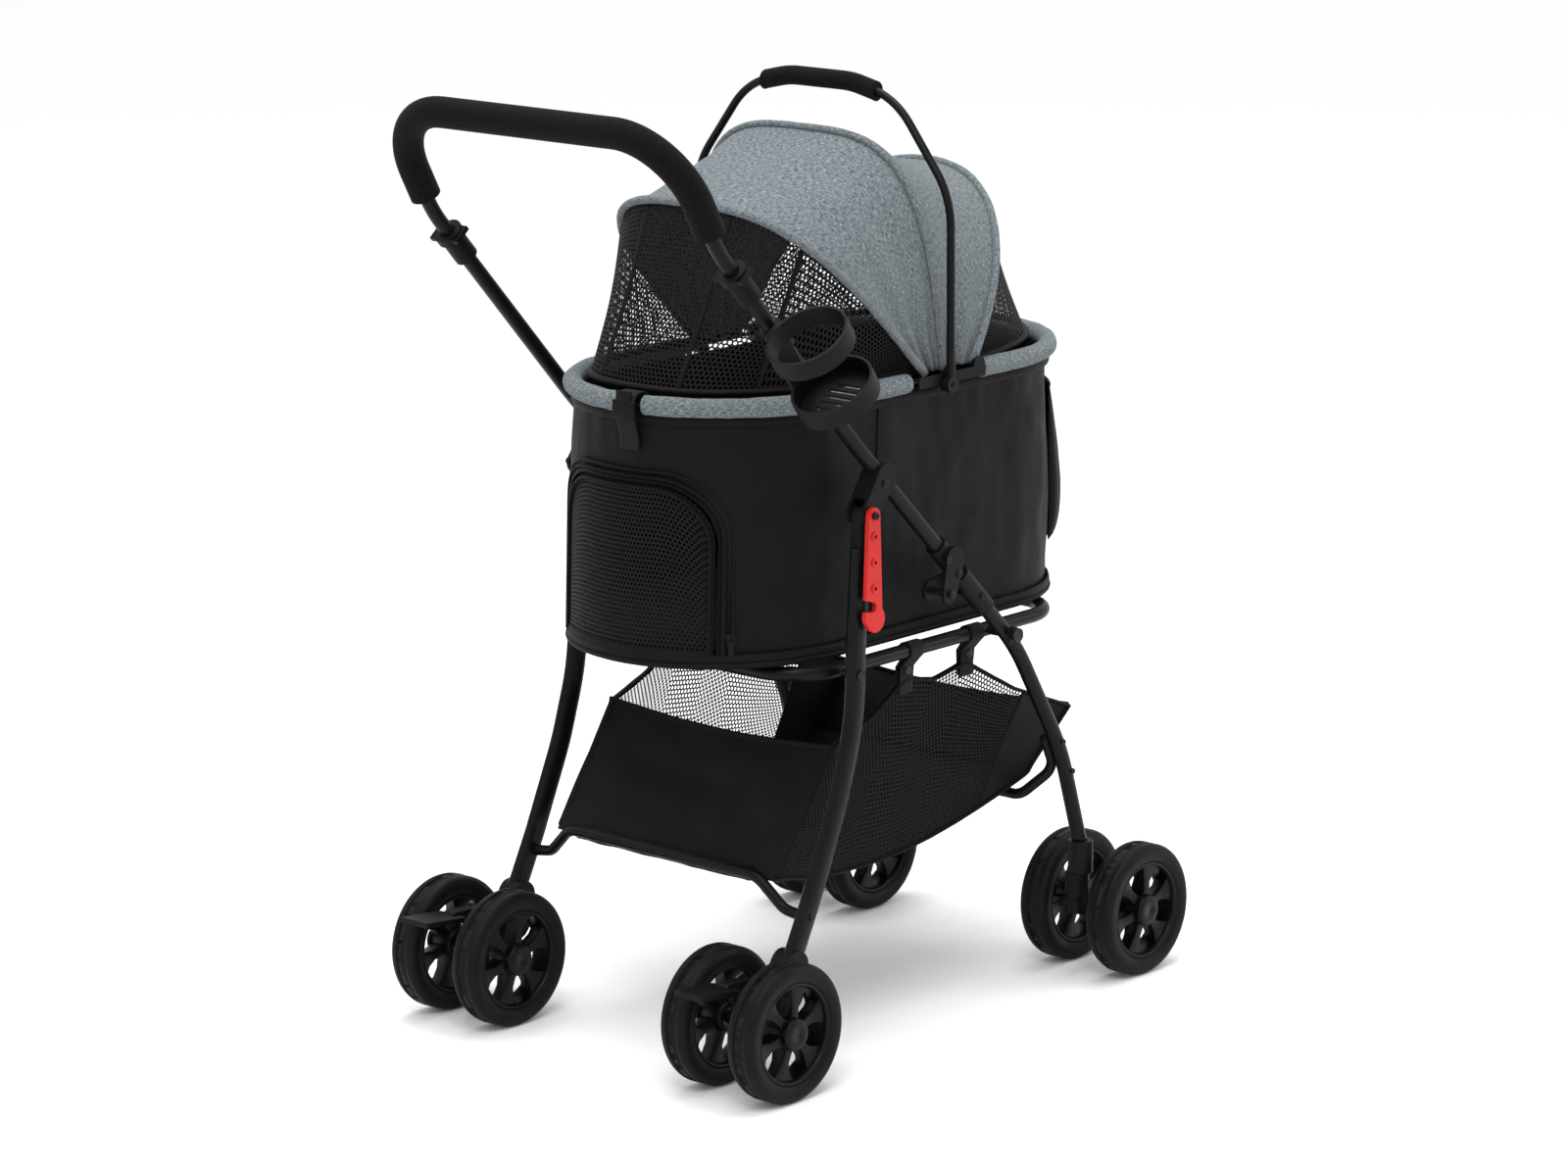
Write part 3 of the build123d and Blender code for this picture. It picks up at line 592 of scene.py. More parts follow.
def hood_surface(hoop_a, hoop_b, shrink_a=2.0, shrink_b=2.0, sag=6.0, ripple=0.0, seed=0.0):
    """Cloth stretched between two hoops, drawn in a little half way."""
    line_a, line_b = hoop_line(hoop_a, shrink_a), hoop_line(hoop_b, shrink_b)
    centre = np.array(HOOD_AXIS)

    def surface(u, v):
        u, v = as_floats(u, v)
        a, b = along(line_a, u), along(line_b, u)
        p = a * (1 - v[..., None]) + b * v[..., None]
        inward = centre - p
        inward /= np.maximum(np.linalg.norm(inward, axis=-1), 1e-6)[..., None]
        depth = sag * np.sin(math.pi * v)
        if ripple:
            low = 1 - np.minimum(u, 1 - u) * 2
            folds = np.sin(v * 5.5 * math.pi + 2.2 * np.sin(u * 9 + seed)) * low ** 1.8
            depth = depth + ripple * folds * np.sin(math.pi * v) ** 0.5
            depth = depth + surface_noise(p, 52, 4.5, seed) * np.sin(math.pi * v)
        return p + inward * depth[..., None]

    return surface


def crown(hoop):
    """The top of a hoop, in frame metres."""
    line = hoop_line(hoop)
    return tuple(place(line[len(line) // 2]))


def mesh_panels(word, surface, seams, body):
    """A hood's mesh as panels between seams; the CAD node is hidden when the first is made."""
    sheets = []
    for index, (u0, u1) in enumerate(zip(seams, seams[1:])):
        panel = span_of(surface, u0, u1)
        sheet = holed_sheet(f"hood_{word}_mesh_{index}", panel, 5.6, MESH, body)
        if index == 0:
            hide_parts(f"{word}_mesh")
        declare_sheet(panel)
        sheets.append(sheet)
    return sheets


def build_hood():
    cloths = (("rear", (MID_HOOP, REAR_HOOP), ("mid_hoop", "rear_hoop"), "mid_hoop", 5, 4.6, 1.3, 60),
              ("front", (FRONT_HOOP, MID_HOOP), ("front_hoop", "mid_hoop"), "carrier", 7, 4.2, 4.1, 50))
    for word, (hoop_a, hoop_b), nodes, body, sag, ripple, seed, rows in cloths:
        surface = hood_surface(hoop_a, hoop_b, sag=sag, ripple=ripple, seed=seed)
        panel = cloth_sheet(f"hood_{word}_cloth", surface, 150, rows, GREY, None)
        crown(hoop_a)
        crown(hoop_b)
        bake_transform(panel)
        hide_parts(f"hood_{word}_panel")
        declare_sheet(surface)

    hoops = (("rear", REAR_HOOP, "rear_hoop", 4.6), ("mid", MID_HOOP, "mid_hoop", 4.4),
             ("front", FRONT_HOOP, "carrier", 4.6))
    for name, hoop, body, radius in hoops:
        piping = tube(f"hood_{name}_piping", hoop_line(hoop, 0, 150), radius, GREY, body, lumps=0.12)
        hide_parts(f"{name}_hoop")

    mesh_back = hood_surface(REAR_HOOP, RIM_REAR, 3.0, RIM_INSET, sag=4)
    lean = math.radians(REAR_HOOP[1])
    hoop_normal = (-math.sin(lean), 0, math.cos(lean))
    squash_to_hoop = dict(axis=hoop_normal, anchor=crown(REAR_HOOP), keep=0.12)
    for sheet in mesh_panels("rear", mesh_back, REAR_SEAMS, "rear_hoop"):
        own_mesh(sheet)

    rim = hoop_line(RIM_REAR, RIM_INSET, 150)
    binding = tube("rear_mesh_binding", rim, 3.4, BINDING, "rear_hoop", flat=1.4)
    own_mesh(binding)
    for index, share in enumerate(REAR_SEAMS[1:-1]):
        seam = edge_of(mesh_back, share, 0, share, 1, 30)
        rib = tube(f"rear_mesh_seam_{index}", seam, 1.4, BINDING, "rear_hoop", flat=2.4, up=(1, 0, 0.2))
        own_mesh(rib)

    mesh_front = hood_surface(FRONT_HOOP, RIM_FRONT, 3.0, RIM_INSET, sag=4)
    mesh_panels("front", mesh_front, (0.0, 0.5, 1.0), "carrier")
    rim = hoop_line(RIM_FRONT, RIM_INSET, 120)
    tube("front_mesh_binding", rim, 3.4, BINDING, "carrier", flat=1.4)


# ---- carrier ------------------------------------------------------------------------
def wall_surface(u, v):
    """The tub's outer cloth: u round the plan from the rear, v from its foot to its rim."""
    low, high = oval_line(WALL_Z0, -0.5, BASE_REAR), oval_line(RIM_Z - 9, -1.0)
    u, v = as_floats(u, v)
    a = along(np.vstack([low, low[:1]]), u)
    b = along(np.vstack([high, high[:1]]), u)
    p = a * (1 - v[..., None]) + b * v[..., None]
    out = p - np.stack([np.clip(p[..., 0], *ROUND_X), 0 * p[..., 1], p[..., 2]], -1)
    out /= np.maximum(np.linalg.norm(out, axis=-1), 1e-6)[..., None]
    hang = surface_noise(p * (1, 1, 0.3), 48, 4.2, 7.0) + surface_noise(p * (1, 1, 0.55), 22, 1.5, 3.0)
    near_rim = np.clip((v - 0.8) / 0.2, 0, 1) ** 1.5
    gather = 1.6 * np.sin(u * 2 * math.pi * 46 + 2.0 * np.sin(u * 40)) * near_rim
    belly = 2.5 * np.sin(math.pi * v)
    return p + out * ((hang + gather) * np.sin(math.pi * v) ** 0.4 + belly - 1.5)[..., None]


def arch_top(y):
    """Height of the rear door's arch at a distance from its middle."""
    radius = 62.0
    edge = np.abs(y) - (DOOR_HALF - radius)
    drop = radius - np.sqrt(np.maximum(radius ** 2 - np.clip(edge, 0, radius) ** 2, 0))
    return DOOR_Z[1] - drop


def rear_wall_point(y, z, out=0.0):
    """A point of the round rear end at a height, moved outward by out."""
    share = (RIM_Z - z) / (RIM_Z - WALL_Z0)
    half = CARRIER_HALF + out
    angle = np.arcsin(np.clip(np.asarray(y, float) / CARRIER_HALF, -1, 1))
    reach = half * np.cos(angle) + BASE_REAR * share * np.cos(angle)
    return np.stack([ROUND_X[0] - reach, half * np.sin(angle), z + 0 * reach], -1)


def arch_line(grow=0.0, out=0.0, count=160):
    """The door's arch from its right foot over the top to its left foot."""
    scale = 1 + grow / DOOR_HALF
    y = np.linspace(-DOOR_HALF, DOOR_HALF, 400)
    top = np.stack([y * scale, arch_top(y) + grow], 1)
    foot = np.array([DOOR_HALF * scale, DOOR_Z[0]])
    flat = np.vstack([foot * (-1, 1), top, foot])
    return even_line(rear_wall_point(flat[:, 0], flat[:, 1], out), count)


def cut_door(wall):
    """Open the wall where the rear door sits."""
    y = np.linspace(-DOOR_HALF, DOOR_HALF, 41)
    outline = [(-DOOR_HALF, DOOR_Z[0])] + list(zip(y, arch_top(y))) + [(DOOR_HALF, DOOR_Z[0])]
    count = len(outline)
    points = [(x, a, b) for x in (CARRIER_X[0] - 60, CARRIER_X[0] + 90) for a, b in outline]
    faces = [tuple(range(count)), tuple(range(2 * count - 1, count - 1, -1))]
    faces += [(i, i + count, (i + 1) % count + count, (i + 1) % count) for i in range(count)]
    cutter = new_piece("door_cutter", points, faces, BLACK, None, smooth=False)
    fix_normals(cutter)
    modify(wall, "BOOLEAN", operation="DIFFERENCE", object=cutter, solver="EXACT")
    bake_modifiers(wall)
    bpy.data.objects.remove(cutter)


def build_tub():
    cols, rows = 560, 46
    u, v = np.meshgrid(np.linspace(0, 1, cols, endpoint=False), np.linspace(0, 1, rows))
    points = wall_surface(u, v).reshape(-1, 3)
    uv = np.stack([u.ravel() * 1.6, v.ravel() * 0.27], 1)
    wall = new_piece("tub_cloth", points, grid_faces(rows, cols, closed=True), BLACK, "carrier", uv)
    fix_normals(wall)
    modify(wall, "SOLIDIFY", thickness=0.003, offset=-1)
    bake_modifiers(wall)
    cut_door(wall)
    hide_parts("tub_wall")

    foot = oval_line(WALL_Z0 - 1, 1.5, BASE_REAR, 360)
    tube("tub_foot_piping", foot, 3.0, BINDING, "carrier", closed=True)
    tube("tub_foot_band", foot + (0, 0, 7), 5.0, BINDING, "carrier", closed=True, flat=0.35)
    hem = oval_line(RIM_Z - 15, 0.5, 0, 360)
    tube("tub_top_hem", hem, 5.0, BINDING, "carrier", closed=True, flat=0.3)
    for index, share in enumerate((0.36, 0.64)):
        seam = edge_of(wall_surface, share, 0.02, share, 0.97, 40)
        tube(f"tub_side_seam_{index}", seam, 0.8, BINDING, "carrier", flat=2.0, up=(1, 0, 0))
    build_board()


def plan_loft(profile, z, grow, rear, count):
    """A closed body of plan ovals, each grown and lifted by a pair of the profile."""
    points = np.vstack([oval_line(z + lift, grow + step, rear, count) for step, lift in profile])
    last = (len(profile) - 1) * count
    faces = grid_faces(len(profile), count, closed=True)
    return points, faces + [tuple(range(count))[::-1], tuple(range(last, last + count))]


def build_board():
    """Cloth-covered floor board with a soft edge."""
    profile = ((-8, 0), (-1.5, 0.4), (0, 3), (0, 5.5), (-2, 8), (-9, 8.4))
    points, faces = plan_loft(profile, BASE_Z - 0.4, -0.5, BASE_REAR - 1, 360)
    board = new_piece("floor_board_cover", points, faces, BLACK, "carrier", points[:, :2] / 1000)
    fix_normals(board)
    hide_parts("base_board")


def build_rim():
    """Grey cloth sleeve rolled over the rim's wire, open at the hood's hinges and the strap."""
    line = oval_line(RIM_Z, 0, 0, 720)
    forward = line[:, 0] > SLEEVE_GAP[1]
    rearward = line[:, 0] < SLEEVE_GAP[0]
    strap = rearward & (np.abs(line[:, 1] - STRAP_Y) < 14) & (line[:, 0] < 100)
    front = line[forward]
    front = front[np.argsort(np.arctan2(front[:, 1], front[:, 0] - ROUND_X[1]))]
    for name, run in (("front", front), *rear_runs(line, rearward & ~strap)):
        roll = tube(f"rim_sleeve_{name}", run, 10.6, GREY, "carrier", sides=20, lumps=0.09)
        if name == "front":
            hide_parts("rim_sleeve")


def rear_runs(line, keep):
    """The rear sleeve in two pieces, one each side of the strap."""
    run = line[keep]
    run = run[np.argsort(np.arctan2(run[:, 1], ROUND_X[0] - run[:, 0]))]
    left, right = run[run[:, 1] > STRAP_Y], run[run[:, 1] <= STRAP_Y]
    return (("rear_left", left), ("rear_right", right))


def build_rear_door():
    """Mesh door with a bound edge and a zip round its arch."""
    def surface(u, v):
        y = (np.asarray(u, float) * 2 - 1) * (DOOR_HALF - 3)
        top = arch_top(y * DOOR_HALF / (DOOR_HALF - 3)) - 3
        z = DOOR_Z[0] + 2 + np.asarray(v, float) * (top - DOOR_Z[0] - 2)
        return rear_wall_point(y, z, 0.5)

    sheet = holed_sheet("rear_door_mesh", surface, 5.4, MESH, "rear_door", hole=0.55)
    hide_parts("rear_door")
    declare_sheet(surface)
    tube("rear_door_binding", arch_line(-6, 0.8), 4.6, BINDING, "rear_door", flat=0.4, up=(1, 0, 0.01))
    across = np.linspace(-DOOR_HALF + 4, DOOR_HALF - 4, 60)
    foot = even_line(rear_wall_point(across, np.full(60, DOOR_Z[0] + 5.0), 0.8), 60)
    tube("rear_door_foot_binding", foot, 4.4, BINDING, "rear_door", flat=0.4)
    tube("zip_tape", arch_line(5, 0.6), 5.2, BINDING, "carrier", flat=0.3, up=(1, 0, 0.01))
    tube("zip_flap_piping", arch_line(11, 0.6), 2.2, BINDING, "carrier", flat=0.8, up=(1, 0, 0.01))
    zip_teeth()


def zip_teeth():
    """Interlocked teeth along the arch, as one piece."""
    line = arch_line(0.5, 2.2, 420)
    points, faces = [], []
    for i in range(2, len(line) - 2):
        ahead = line[i + 1] - line[i - 1]
        ahead /= np.linalg.norm(ahead)
        out = np.array([line[i][0] - ROUND_X[0], line[i][1], 0])
        out /= np.linalg.norm(out)
        side = np.cross(ahead, out)
        shift = 0.9 if i % 2 else -0.9
        base = len(points)
        for a, b, c in BOX_CORNERS:
            points.append(line[i] + ahead * 0.42 * a + side * (1.5 * b + shift) + out * 0.7 * c)
        faces += [tuple(base + k for k in face) for face in BOX_FACES]
    new_piece("zip_teeth", points, faces, HUB, "carrier", smooth=False)


def build_pocket():
    """Slack cloth pocket on the front end."""
    def surface(u, v):
        u, v = as_floats(u, v)
        angle = (u - 0.5) * math.radians(104)
        slack = np.sin(math.pi * np.clip(v, 0, 1) ** 0.55)
        bulge = 1.5 + 25 * np.sin(math.pi * u) ** 0.4 * slack ** 0.8
        reach = CARRIER_HALF + bulge
        x = ROUND_X[1] + reach * np.cos(angle)
        y = reach * np.sin(angle)
        z = 486 + 176 * v
        p = np.stack([x, y, z], -1)
        p[..., 0] += surface_noise(p, 30, 3.0, 9.0) * np.sin(math.pi * u) * np.sin(math.pi * v)
        return p

    pocket = cloth_sheet("front_pocket_cloth", surface, 70, 40, BLACK, "carrier", 1.5)
    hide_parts("front_pocket")
    declare_sheet(surface)
    edge = edge_of(surface, *TOP_EDGE, 50)
    tube("front_pocket_binding", edge, 2.6, BINDING, "carrier", flat=0.8)


def build_strap():
    """Webbing over the rim at the rear, with a side-release clip."""
    profile = [(-13.5, 2), (-12, 9), (-6, 12.6), (3, 13.0), (10, 10.5), (13.2, 4), (13.4, -8),
               (10.5, -22), (6.5, -34), (5.6, -48)]
    smooth_line = even_line([(a, 0, b) for a, b in profile], 40)
    points, half = [], 12.0
    ahead = np.array([math.cos(STRAP_ANGLE), math.sin(STRAP_ANGLE), 0])
    side = np.array([-ahead[1], ahead[0], 0])
    centre = np.array([ROUND_X[0], 0, RIM_Z])
    for out, _, up in smooth_line:
        for s in np.linspace(-1, 1, 9):
            points.append(centre + ahead * (CARRIER_HALF + out) + side * half * s + np.array([0, 0, up]))
    uv = [(i * 0.0022, s * 0.003) for i in range(40) for s in range(9)]
    strap = new_piece("rim_strap_webbing", points, grid_faces(40, 9), WEBBING, "carrier", uv)
    thicken(strap, 1.6)
    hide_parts("rim_strap")
    turn = Matrix.Rotation(STRAP_ANGLE, 4, "Z")
    at = centre + ahead * (CARRIER_HALF + 15.4) + np.array([0, 0, -4])
    box_piece("strap_clip_body", at, (5, 29, 20), PLASTIC, "carrier", 1.6, turn)
    box_piece("strap_clip_tongue", at + np.array([0, 0, 14]), (4, 19, 12), PLASTIC, "carrier", 1.4, turn)


def build_pad():
    """Soft pad on the floor board, blown up and crowned by a cloth simulation."""
    profile = ((-26, 4), (-13, 1), (-9, 4), (-8.5, 9), (-10, 14), (-22, 17))
    points, faces = plan_loft(profile, BASE_Z + 9.5, 0, 0, 240)
    pad = new_piece("sleeping_pad_cushion", points, faces, QUILT, "carrier")
    fix_normals(pad)
    inflate(pad, 0.006, 0.004)
    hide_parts("sleeping_pad")


def inflate(obj, voxel, cap):
    """Remesh, blow up with cloth pressure, cap each point's travel, and smooth."""
    modify(obj, "REMESH", mode="VOXEL", voxel_size=voxel)
    bake_modifiers(obj)
    before = np.array([v.co for v in obj.data.vertices])
    cloth = modify(obj, "CLOTH")
    cloth.settings.use_pressure = True
    cloth.settings.uniform_pressure_force = 4
    cloth.settings.effector_weights.gravity = 0
    cloth.settings.quality = 4
    scene = bpy.context.scene
    for step in range(1, 16):
        scene.frame_set(step)
    bake_modifiers(obj)
    scene.frame_set(1)
    after = np.array([v.co for v in obj.data.vertices])
    move = after - before
    size = np.linalg.norm(move, axis=1)
    move *= np.minimum(1, cap / np.maximum(size, 1e-9))[:, None]
    obj.data.vertices.foreach_set("co", (before + move).ravel())
    obj.data.update()
    obj.data.shade_smooth()


# ---- basket -------------------------------------------------------------------------
REAR_FOOT, REAR_TOP = (88.0, 206.0), (176.0, 330.0)
CLOTH_FROM = 0.8            # share of the side where mesh gives way to cloth
STRAPS = (289.0, 391.0)
STRAP_Z = 386.0
FRONT_TOP, FRONT_FOOT = (576.0, 300.0), (508.0, 236.0)


def floor_z(x):
    """Height of the basket's sagging floor."""
    share = np.clip((x - REAR_FOOT[0]) / (FRONT_FOOT[0] - REAR_FOOT[0]), 0, 1)
    straight = REAR_FOOT[1] + (FRONT_FOOT[1] - REAR_FOOT[1]) * share
    return straight - 34 * np.sin(math.pi * share) ** 0.8 * (1 - 0.25 * share)


def side_top(x):
    """Height of the side panel's scalloped upper edge."""
    knots_x = [REAR_TOP[0], 235, STRAPS[0], sum(STRAPS) / 2, STRAPS[1], 480, FRONT_TOP[0]]
    knots_z = [REAR_TOP[1], 352, STRAP_Z, 376, STRAP_Z, 338, FRONT_TOP[1]]
    return np.interp(x, knots_x, knots_z)


def bulge_y(x, z, side):
    """How far the soft side stands out at a point."""
    share_x = np.clip((x - REAR_FOOT[0]) / (FRONT_TOP[0] - REAR_FOOT[0]), 0, 1)
    low = np.clip((z - 180) / 200, 0, 1)
    return side * (BASKET_HALF - 22 * low * (1 - low) * np.sin(math.pi * share_x) - 8 * (1 - low))


def side_surface(side):
    def surface(u, v):
        u, v = as_floats(u, v)
        foot_x = REAR_FOOT[0] + u * (FRONT_FOOT[0] - REAR_FOOT[0])
        top_x = REAR_TOP[0] + u * (FRONT_TOP[0] - REAR_TOP[0])
        x = foot_x * (1 - v) + top_x * v
        z = floor_z(foot_x) * (1 - v) + side_top(top_x) * v
        y = bulge_y(x, z, side)
        p = np.stack([x, y, z], -1)
        p[..., 1] += surface_noise(p, 70, 3.0, side * 5.0) * np.sin(math.pi * v)
        return p
    return surface


def floor_surface(u, v):
    u, v = as_floats(u, v)
    x = REAR_FOOT[0] + u * (FRONT_FOOT[0] - REAR_FOOT[0])
    y = (v * 2 - 1) * np.abs(bulge_y(x, floor_z(x), 1))
    z = floor_z(x) - 5 * np.cos((v * 2 - 1) * math.pi / 2) * np.sin(math.pi * u)
    p = np.stack([x, y, z], -1)
    p[..., 2] += surface_noise(p, 60, 3.0, 2.0) * np.sin(math.pi * u) * np.sin(math.pi * v)
    return p


def rear_panel_surface(u, v):
    """The leaning black cloth behind the basket, slack between its corners."""
    u, v = as_floats(u, v)
    half = 160 + (BASKET_HALF - 160) * v
    y = (u * 2 - 1) * half
    dip = -9 * np.sin(math.pi * u) * v
    belly = 7 * np.sin(math.pi * v) * np.sin(math.pi * u)
    x = REAR_FOOT[0] - 4 + (REAR_TOP[0] - REAR_FOOT[0] + 4) * v + belly
    z = REAR_FOOT[1] - 4 + (REAR_TOP[1] - REAR_FOOT[1] + 4) * v + dip
    p = np.stack([x, y, z], -1)
    loose = np.sin(math.pi * v) * np.sin(math.pi * u) ** 0.5
    p[..., 0] += surface_noise(p * (1, 0.6, 1), 40, 8.0, 6.0) * loose
    return p


def front_panel_surface(u, v):
    u, v = as_floats(u, v)
    x = FRONT_FOOT[0] + (FRONT_TOP[0] - FRONT_FOOT[0]) * v
    z = FRONT_FOOT[1] + (FRONT_TOP[1] - FRONT_FOOT[1]) * v - 8 * np.sin(math.pi * u) * v
    y = (u * 2 - 1) * np.abs(bulge_y(x, z, 1))
    return np.stack([x, y, z], -1)


FOLD_SQUASH = dict(joint="frame_fold", axis=(0.8, 0, 0.6), anchor=tuple(place((500, 0, 215))), keep=0.14)


def crumple(obj):
    """Give a basket piece its own copy of its mesh."""
    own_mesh(obj)
    return obj


def build_basket():
    panels = (("basket_floor", floor_surface, 90, 60), ("basket_rear_cloth", rear_panel_surface, 90, 50),
              ("basket_front_cloth", front_panel_surface, 70, 20),
              ("basket_corner_right", span_of(side_surface(-1), CLOTH_FROM, 1), 24, 30),
              ("basket_corner_left", span_of(side_surface(1), CLOTH_FROM, 1), 24, 30))
    first = None
    for name, surface, cols, rows in panels:
        panel = cloth_sheet(name, surface, cols, rows, BLACK, "front_frame", 1.4)
        declare_sheet(surface)
        crumple(panel)
        first = first or panel
    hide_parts("basket")
    for side, word in ((-1, "right"), (1, "left")):
        surface = side_surface(side)
        part = span_of(surface, 0, CLOTH_FROM)
        panel = holed_sheet(f"basket_side_{word}", part, 5.4, MESH, "front_frame", hole=0.7)
        declare_sheet(part)
        crumple(panel)
        side_edges = {"top": TOP_EDGE, "rear": (0, 0, 0, 1), "foot": FOOT_EDGE, "front": (1, 0, 1, 1)}
        for name, ends in side_edges.items():
            line = edge_of(surface, *ends)
            crumple(tube(f"basket_{word}_{name}_binding", line, 4.4, BINDING, "front_frame", flat=0.45,
                         up=(0, 1, 0.02), lumps=0.1))
        for index, x in enumerate(STRAPS):
            crumple(hanging_strap(f"basket_strap_{word}_{index}", x, side))
            crumple(snap(f"basket_snap_{word}_{index}", x, side))
    edges = (("front_top", front_panel_surface, TOP_EDGE), ("front_foot", front_panel_surface, FOOT_EDGE),
             ("rear_top", rear_panel_surface, TOP_EDGE))
    for name, surface, ends in edges:
        crumple(tube(f"basket_{name}_binding", edge_of(surface, *ends), 4.2, BINDING, "front_frame",
                     flat=0.5, lumps=0.1))
    sleeve = [(84, y, 205) for y in np.linspace(-126, 126, 50)]
    crumple(tube("basket_rear_sleeve", sleeve, 8.4, BLACK, "front_frame", lumps=0.12))


def hanging_strap(name, x, side):
    """A tape that goes over the support loop and down to the basket's edge."""
    angles = np.linspace(math.radians(-60), math.radians(240), 24)
    over = [(x, side * (LOOP_Y + 9.4 * math.cos(a)), LOOP_Z + 9.4 * math.sin(a)) for a in angles]
    line = [(x, side * (BASKET_HALF + 1), STRAP_Z - 16), (x, side * (BASKET_HALF + 4), 400)] + over
    line += [(x, side * (BASKET_HALF - 3), 400), (x, side * (BASKET_HALF - 2), STRAP_Z - 14)]
    dense = even_line(line, 60)
    points = [(p[0] + s, p[1], p[2]) for p in dense for s in np.linspace(-11, 11, 7)]
    uv = [(i * 0.0022, s * 0.003) for i in range(60) for s in range(7)]
    return thicken(new_piece(name, points, grid_faces(60, 7), WEBBING, "front_frame", uv), 1.4)


def snap(name, x, side):
    """Press stud on a basket strap."""
    y = side * (BASKET_HALF + 4)
    profile = [(0.3, side * 0.2), (5.4, side * 0.2), (5.8, side * 1.2), (4.4, side * 2.6), (0.3, side * 3.0)]
    return lathe(name, profile, (x, y, 396), STEEL, "front_frame", 28)


# ---- wheels -------------------------------------------------------------------------
SPOKES = 6


def tyre_profile():
    """Half-round tread with a fine groove and a step down to the rim, by (radius, y).

    The tread doubles back on itself between y 4.6 and 3.0.
    """
    half, shoulder = 18.0, 9.0
    outer = []
    for side in (-1, 1):
        turn = np.linspace(math.pi / 2, 0, 7) if side < 0 else np.linspace(0, math.pi / 2, 7)
        run = [(WHEEL_R - shoulder * (1 - math.cos(a)), side * (half - shoulder * (1 - math.sin(a))))
               for a in turn]
        outer += run if side < 0 else [(74.9, 4.6), (74.9, 3.0)] + run
        if side < 0:
            outer += [(74.9, -7.0), (74.0, -6.4), (74.9, -5.8)]
    inner = [(57.5, 17.4), (56.0, 15.5), (55.2, 15.2), (55.2, -15.2), (56.0, -15.5), (57.5, -17.4)]
    return outer + inner


def rim_profile():
    return [(55.1, -14.8), (55.1, 14.8), (53.2, 15.6), (51.4, 14.4), (50.2, 10.0), (49.6, 0), (50.2, -10.0),
            (51.4, -14.4), (53.2, -15.6)]


def build_spokes(name, centre, body):
    """Six flared spokes between the barrel and the rim, thicker at the hub."""
    points, faces = [], []
    stations = ((14.0, 6.0, 11.5), (22.0, 5.2, 10.0), (32.0, 5.6, 8.5), (42.0, 9.5, 8.5), (50.6, 17.0, 10.5))
    for k in range(SPOKES):
        turn = 2 * math.pi * (k + 0.25) / SPOKES
        base = len(points)
        for radius, half_width, depth in stations:
            for a, b in ((-1, -1), (-0.75, 1), (0.75, 1), (1, -1)):
                z = half_width * a
                points.append((centre[0] + radius * math.cos(turn) - z * math.sin(turn),
                               centre[1] + b * depth,
                               centre[2] + radius * math.sin(turn) + z * math.cos(turn)))
        rows = len(stations)
        faces += [tuple(base + i for i in f) for f in grid_faces(rows, 4, closed=True)]
        faces += [(base + 3, base + 2, base + 1, base), tuple(base + (rows - 1) * 4 + i for i in range(4))]
    obj = new_piece(name, points, faces, HUB, body)
    fix_normals(obj)
    modify(obj, "BEVEL", width=0.0012, segments=2, limit_method="ANGLE")
    bake_modifiers(obj)
    return obj


def build_wheel(node):
    low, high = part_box(node)
    middle = (Vector(low) + Vector(high)) / 2 - ZERO
    centre = tuple(middle * 1000)
    outward = 1 if ("left" in node) == ("outer" in node) else -1
    tyre = lathe(f"{node}_tyre", tyre_profile(), centre, RUBBER, node, 96)
    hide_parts(node)
    lathe(f"{node}_rim", rim_profile(), centre, HUB, node, 96)
    barrel = [(5.4, -16.5), (14.5, -16.5), (16, -15), (16, 15), (14.5, 16.5), (5.4, 16.5)]
    lathe(f"{node}_barrel", barrel, centre, HUB, node, 48)
    build_spokes(f"{node}_spokes", centre, node)
    cap = [(0.2, 19.4), (13.5, 19.2), (16.2, 18.2), (17.6, 16.4), (17.8, 13.0), (15.0, 12.6), (0.2, 12.6)]
    lathe(f"{node}_cap", [(r, y * outward) for r, y in cap], centre, HUB, node, 48)


# ---- frame details ------------------------------------------------------------------
CASTER_X = 548.0
HOOK_PIVOT, HOOK_FACE_Y = (175.7, 592.0), -222.2


def rivet(name, x, z, y, side, body, radius):
    """Domed rivet head with a sunk middle, facing outward."""
    profile = [(0.2, 0.9), (radius * 0.4, 0.9), (radius * 0.5, 1.9), (radius * 0.8, 2.1), (radius, 1.2),
               (radius, -0.6), (0.2, -0.6)]
    lathe(name, [(r, d * side) for r, d in profile], (x, y, z), STEEL, body, 28)


def build_rivets():
    for side, word in ((-1, "right"), (1, "left")):
        spots = (("bracket", 200, 622, 12.0, "handle"), ("pivot", 176, 592, 20.0, "handle"),
                 ("sleeve_a", 300, 523, 15.2, "handle"), ("sleeve_b", 318, 505, 15.2, "handle"),
                 ("fold", 303, 485, 17.6, "handle"), ("housing", 362, 472, 11.4, "front_frame"),
                 ("cross_a", 505, 280, 8.6, "front_frame"), ("cross_b", 522, 243, 8.6, "front_frame"),
                 ("rear_bar", 85, 172, 7.6, "rear_frame"), ("socket", CASTER_X, 142, 14.2, "front_frame"))
        for name, x, z, out, body in spots:
            y = side * ((FRONT_PAIR_Y if name == "socket" else SIDE_Y) + out)
            radius = 3.4 if name in ("cross_a", "cross_b", "rear_bar") else 4.2
            rivet(f"rivet_{name}_{word}", x, z, y, side, body, radius)


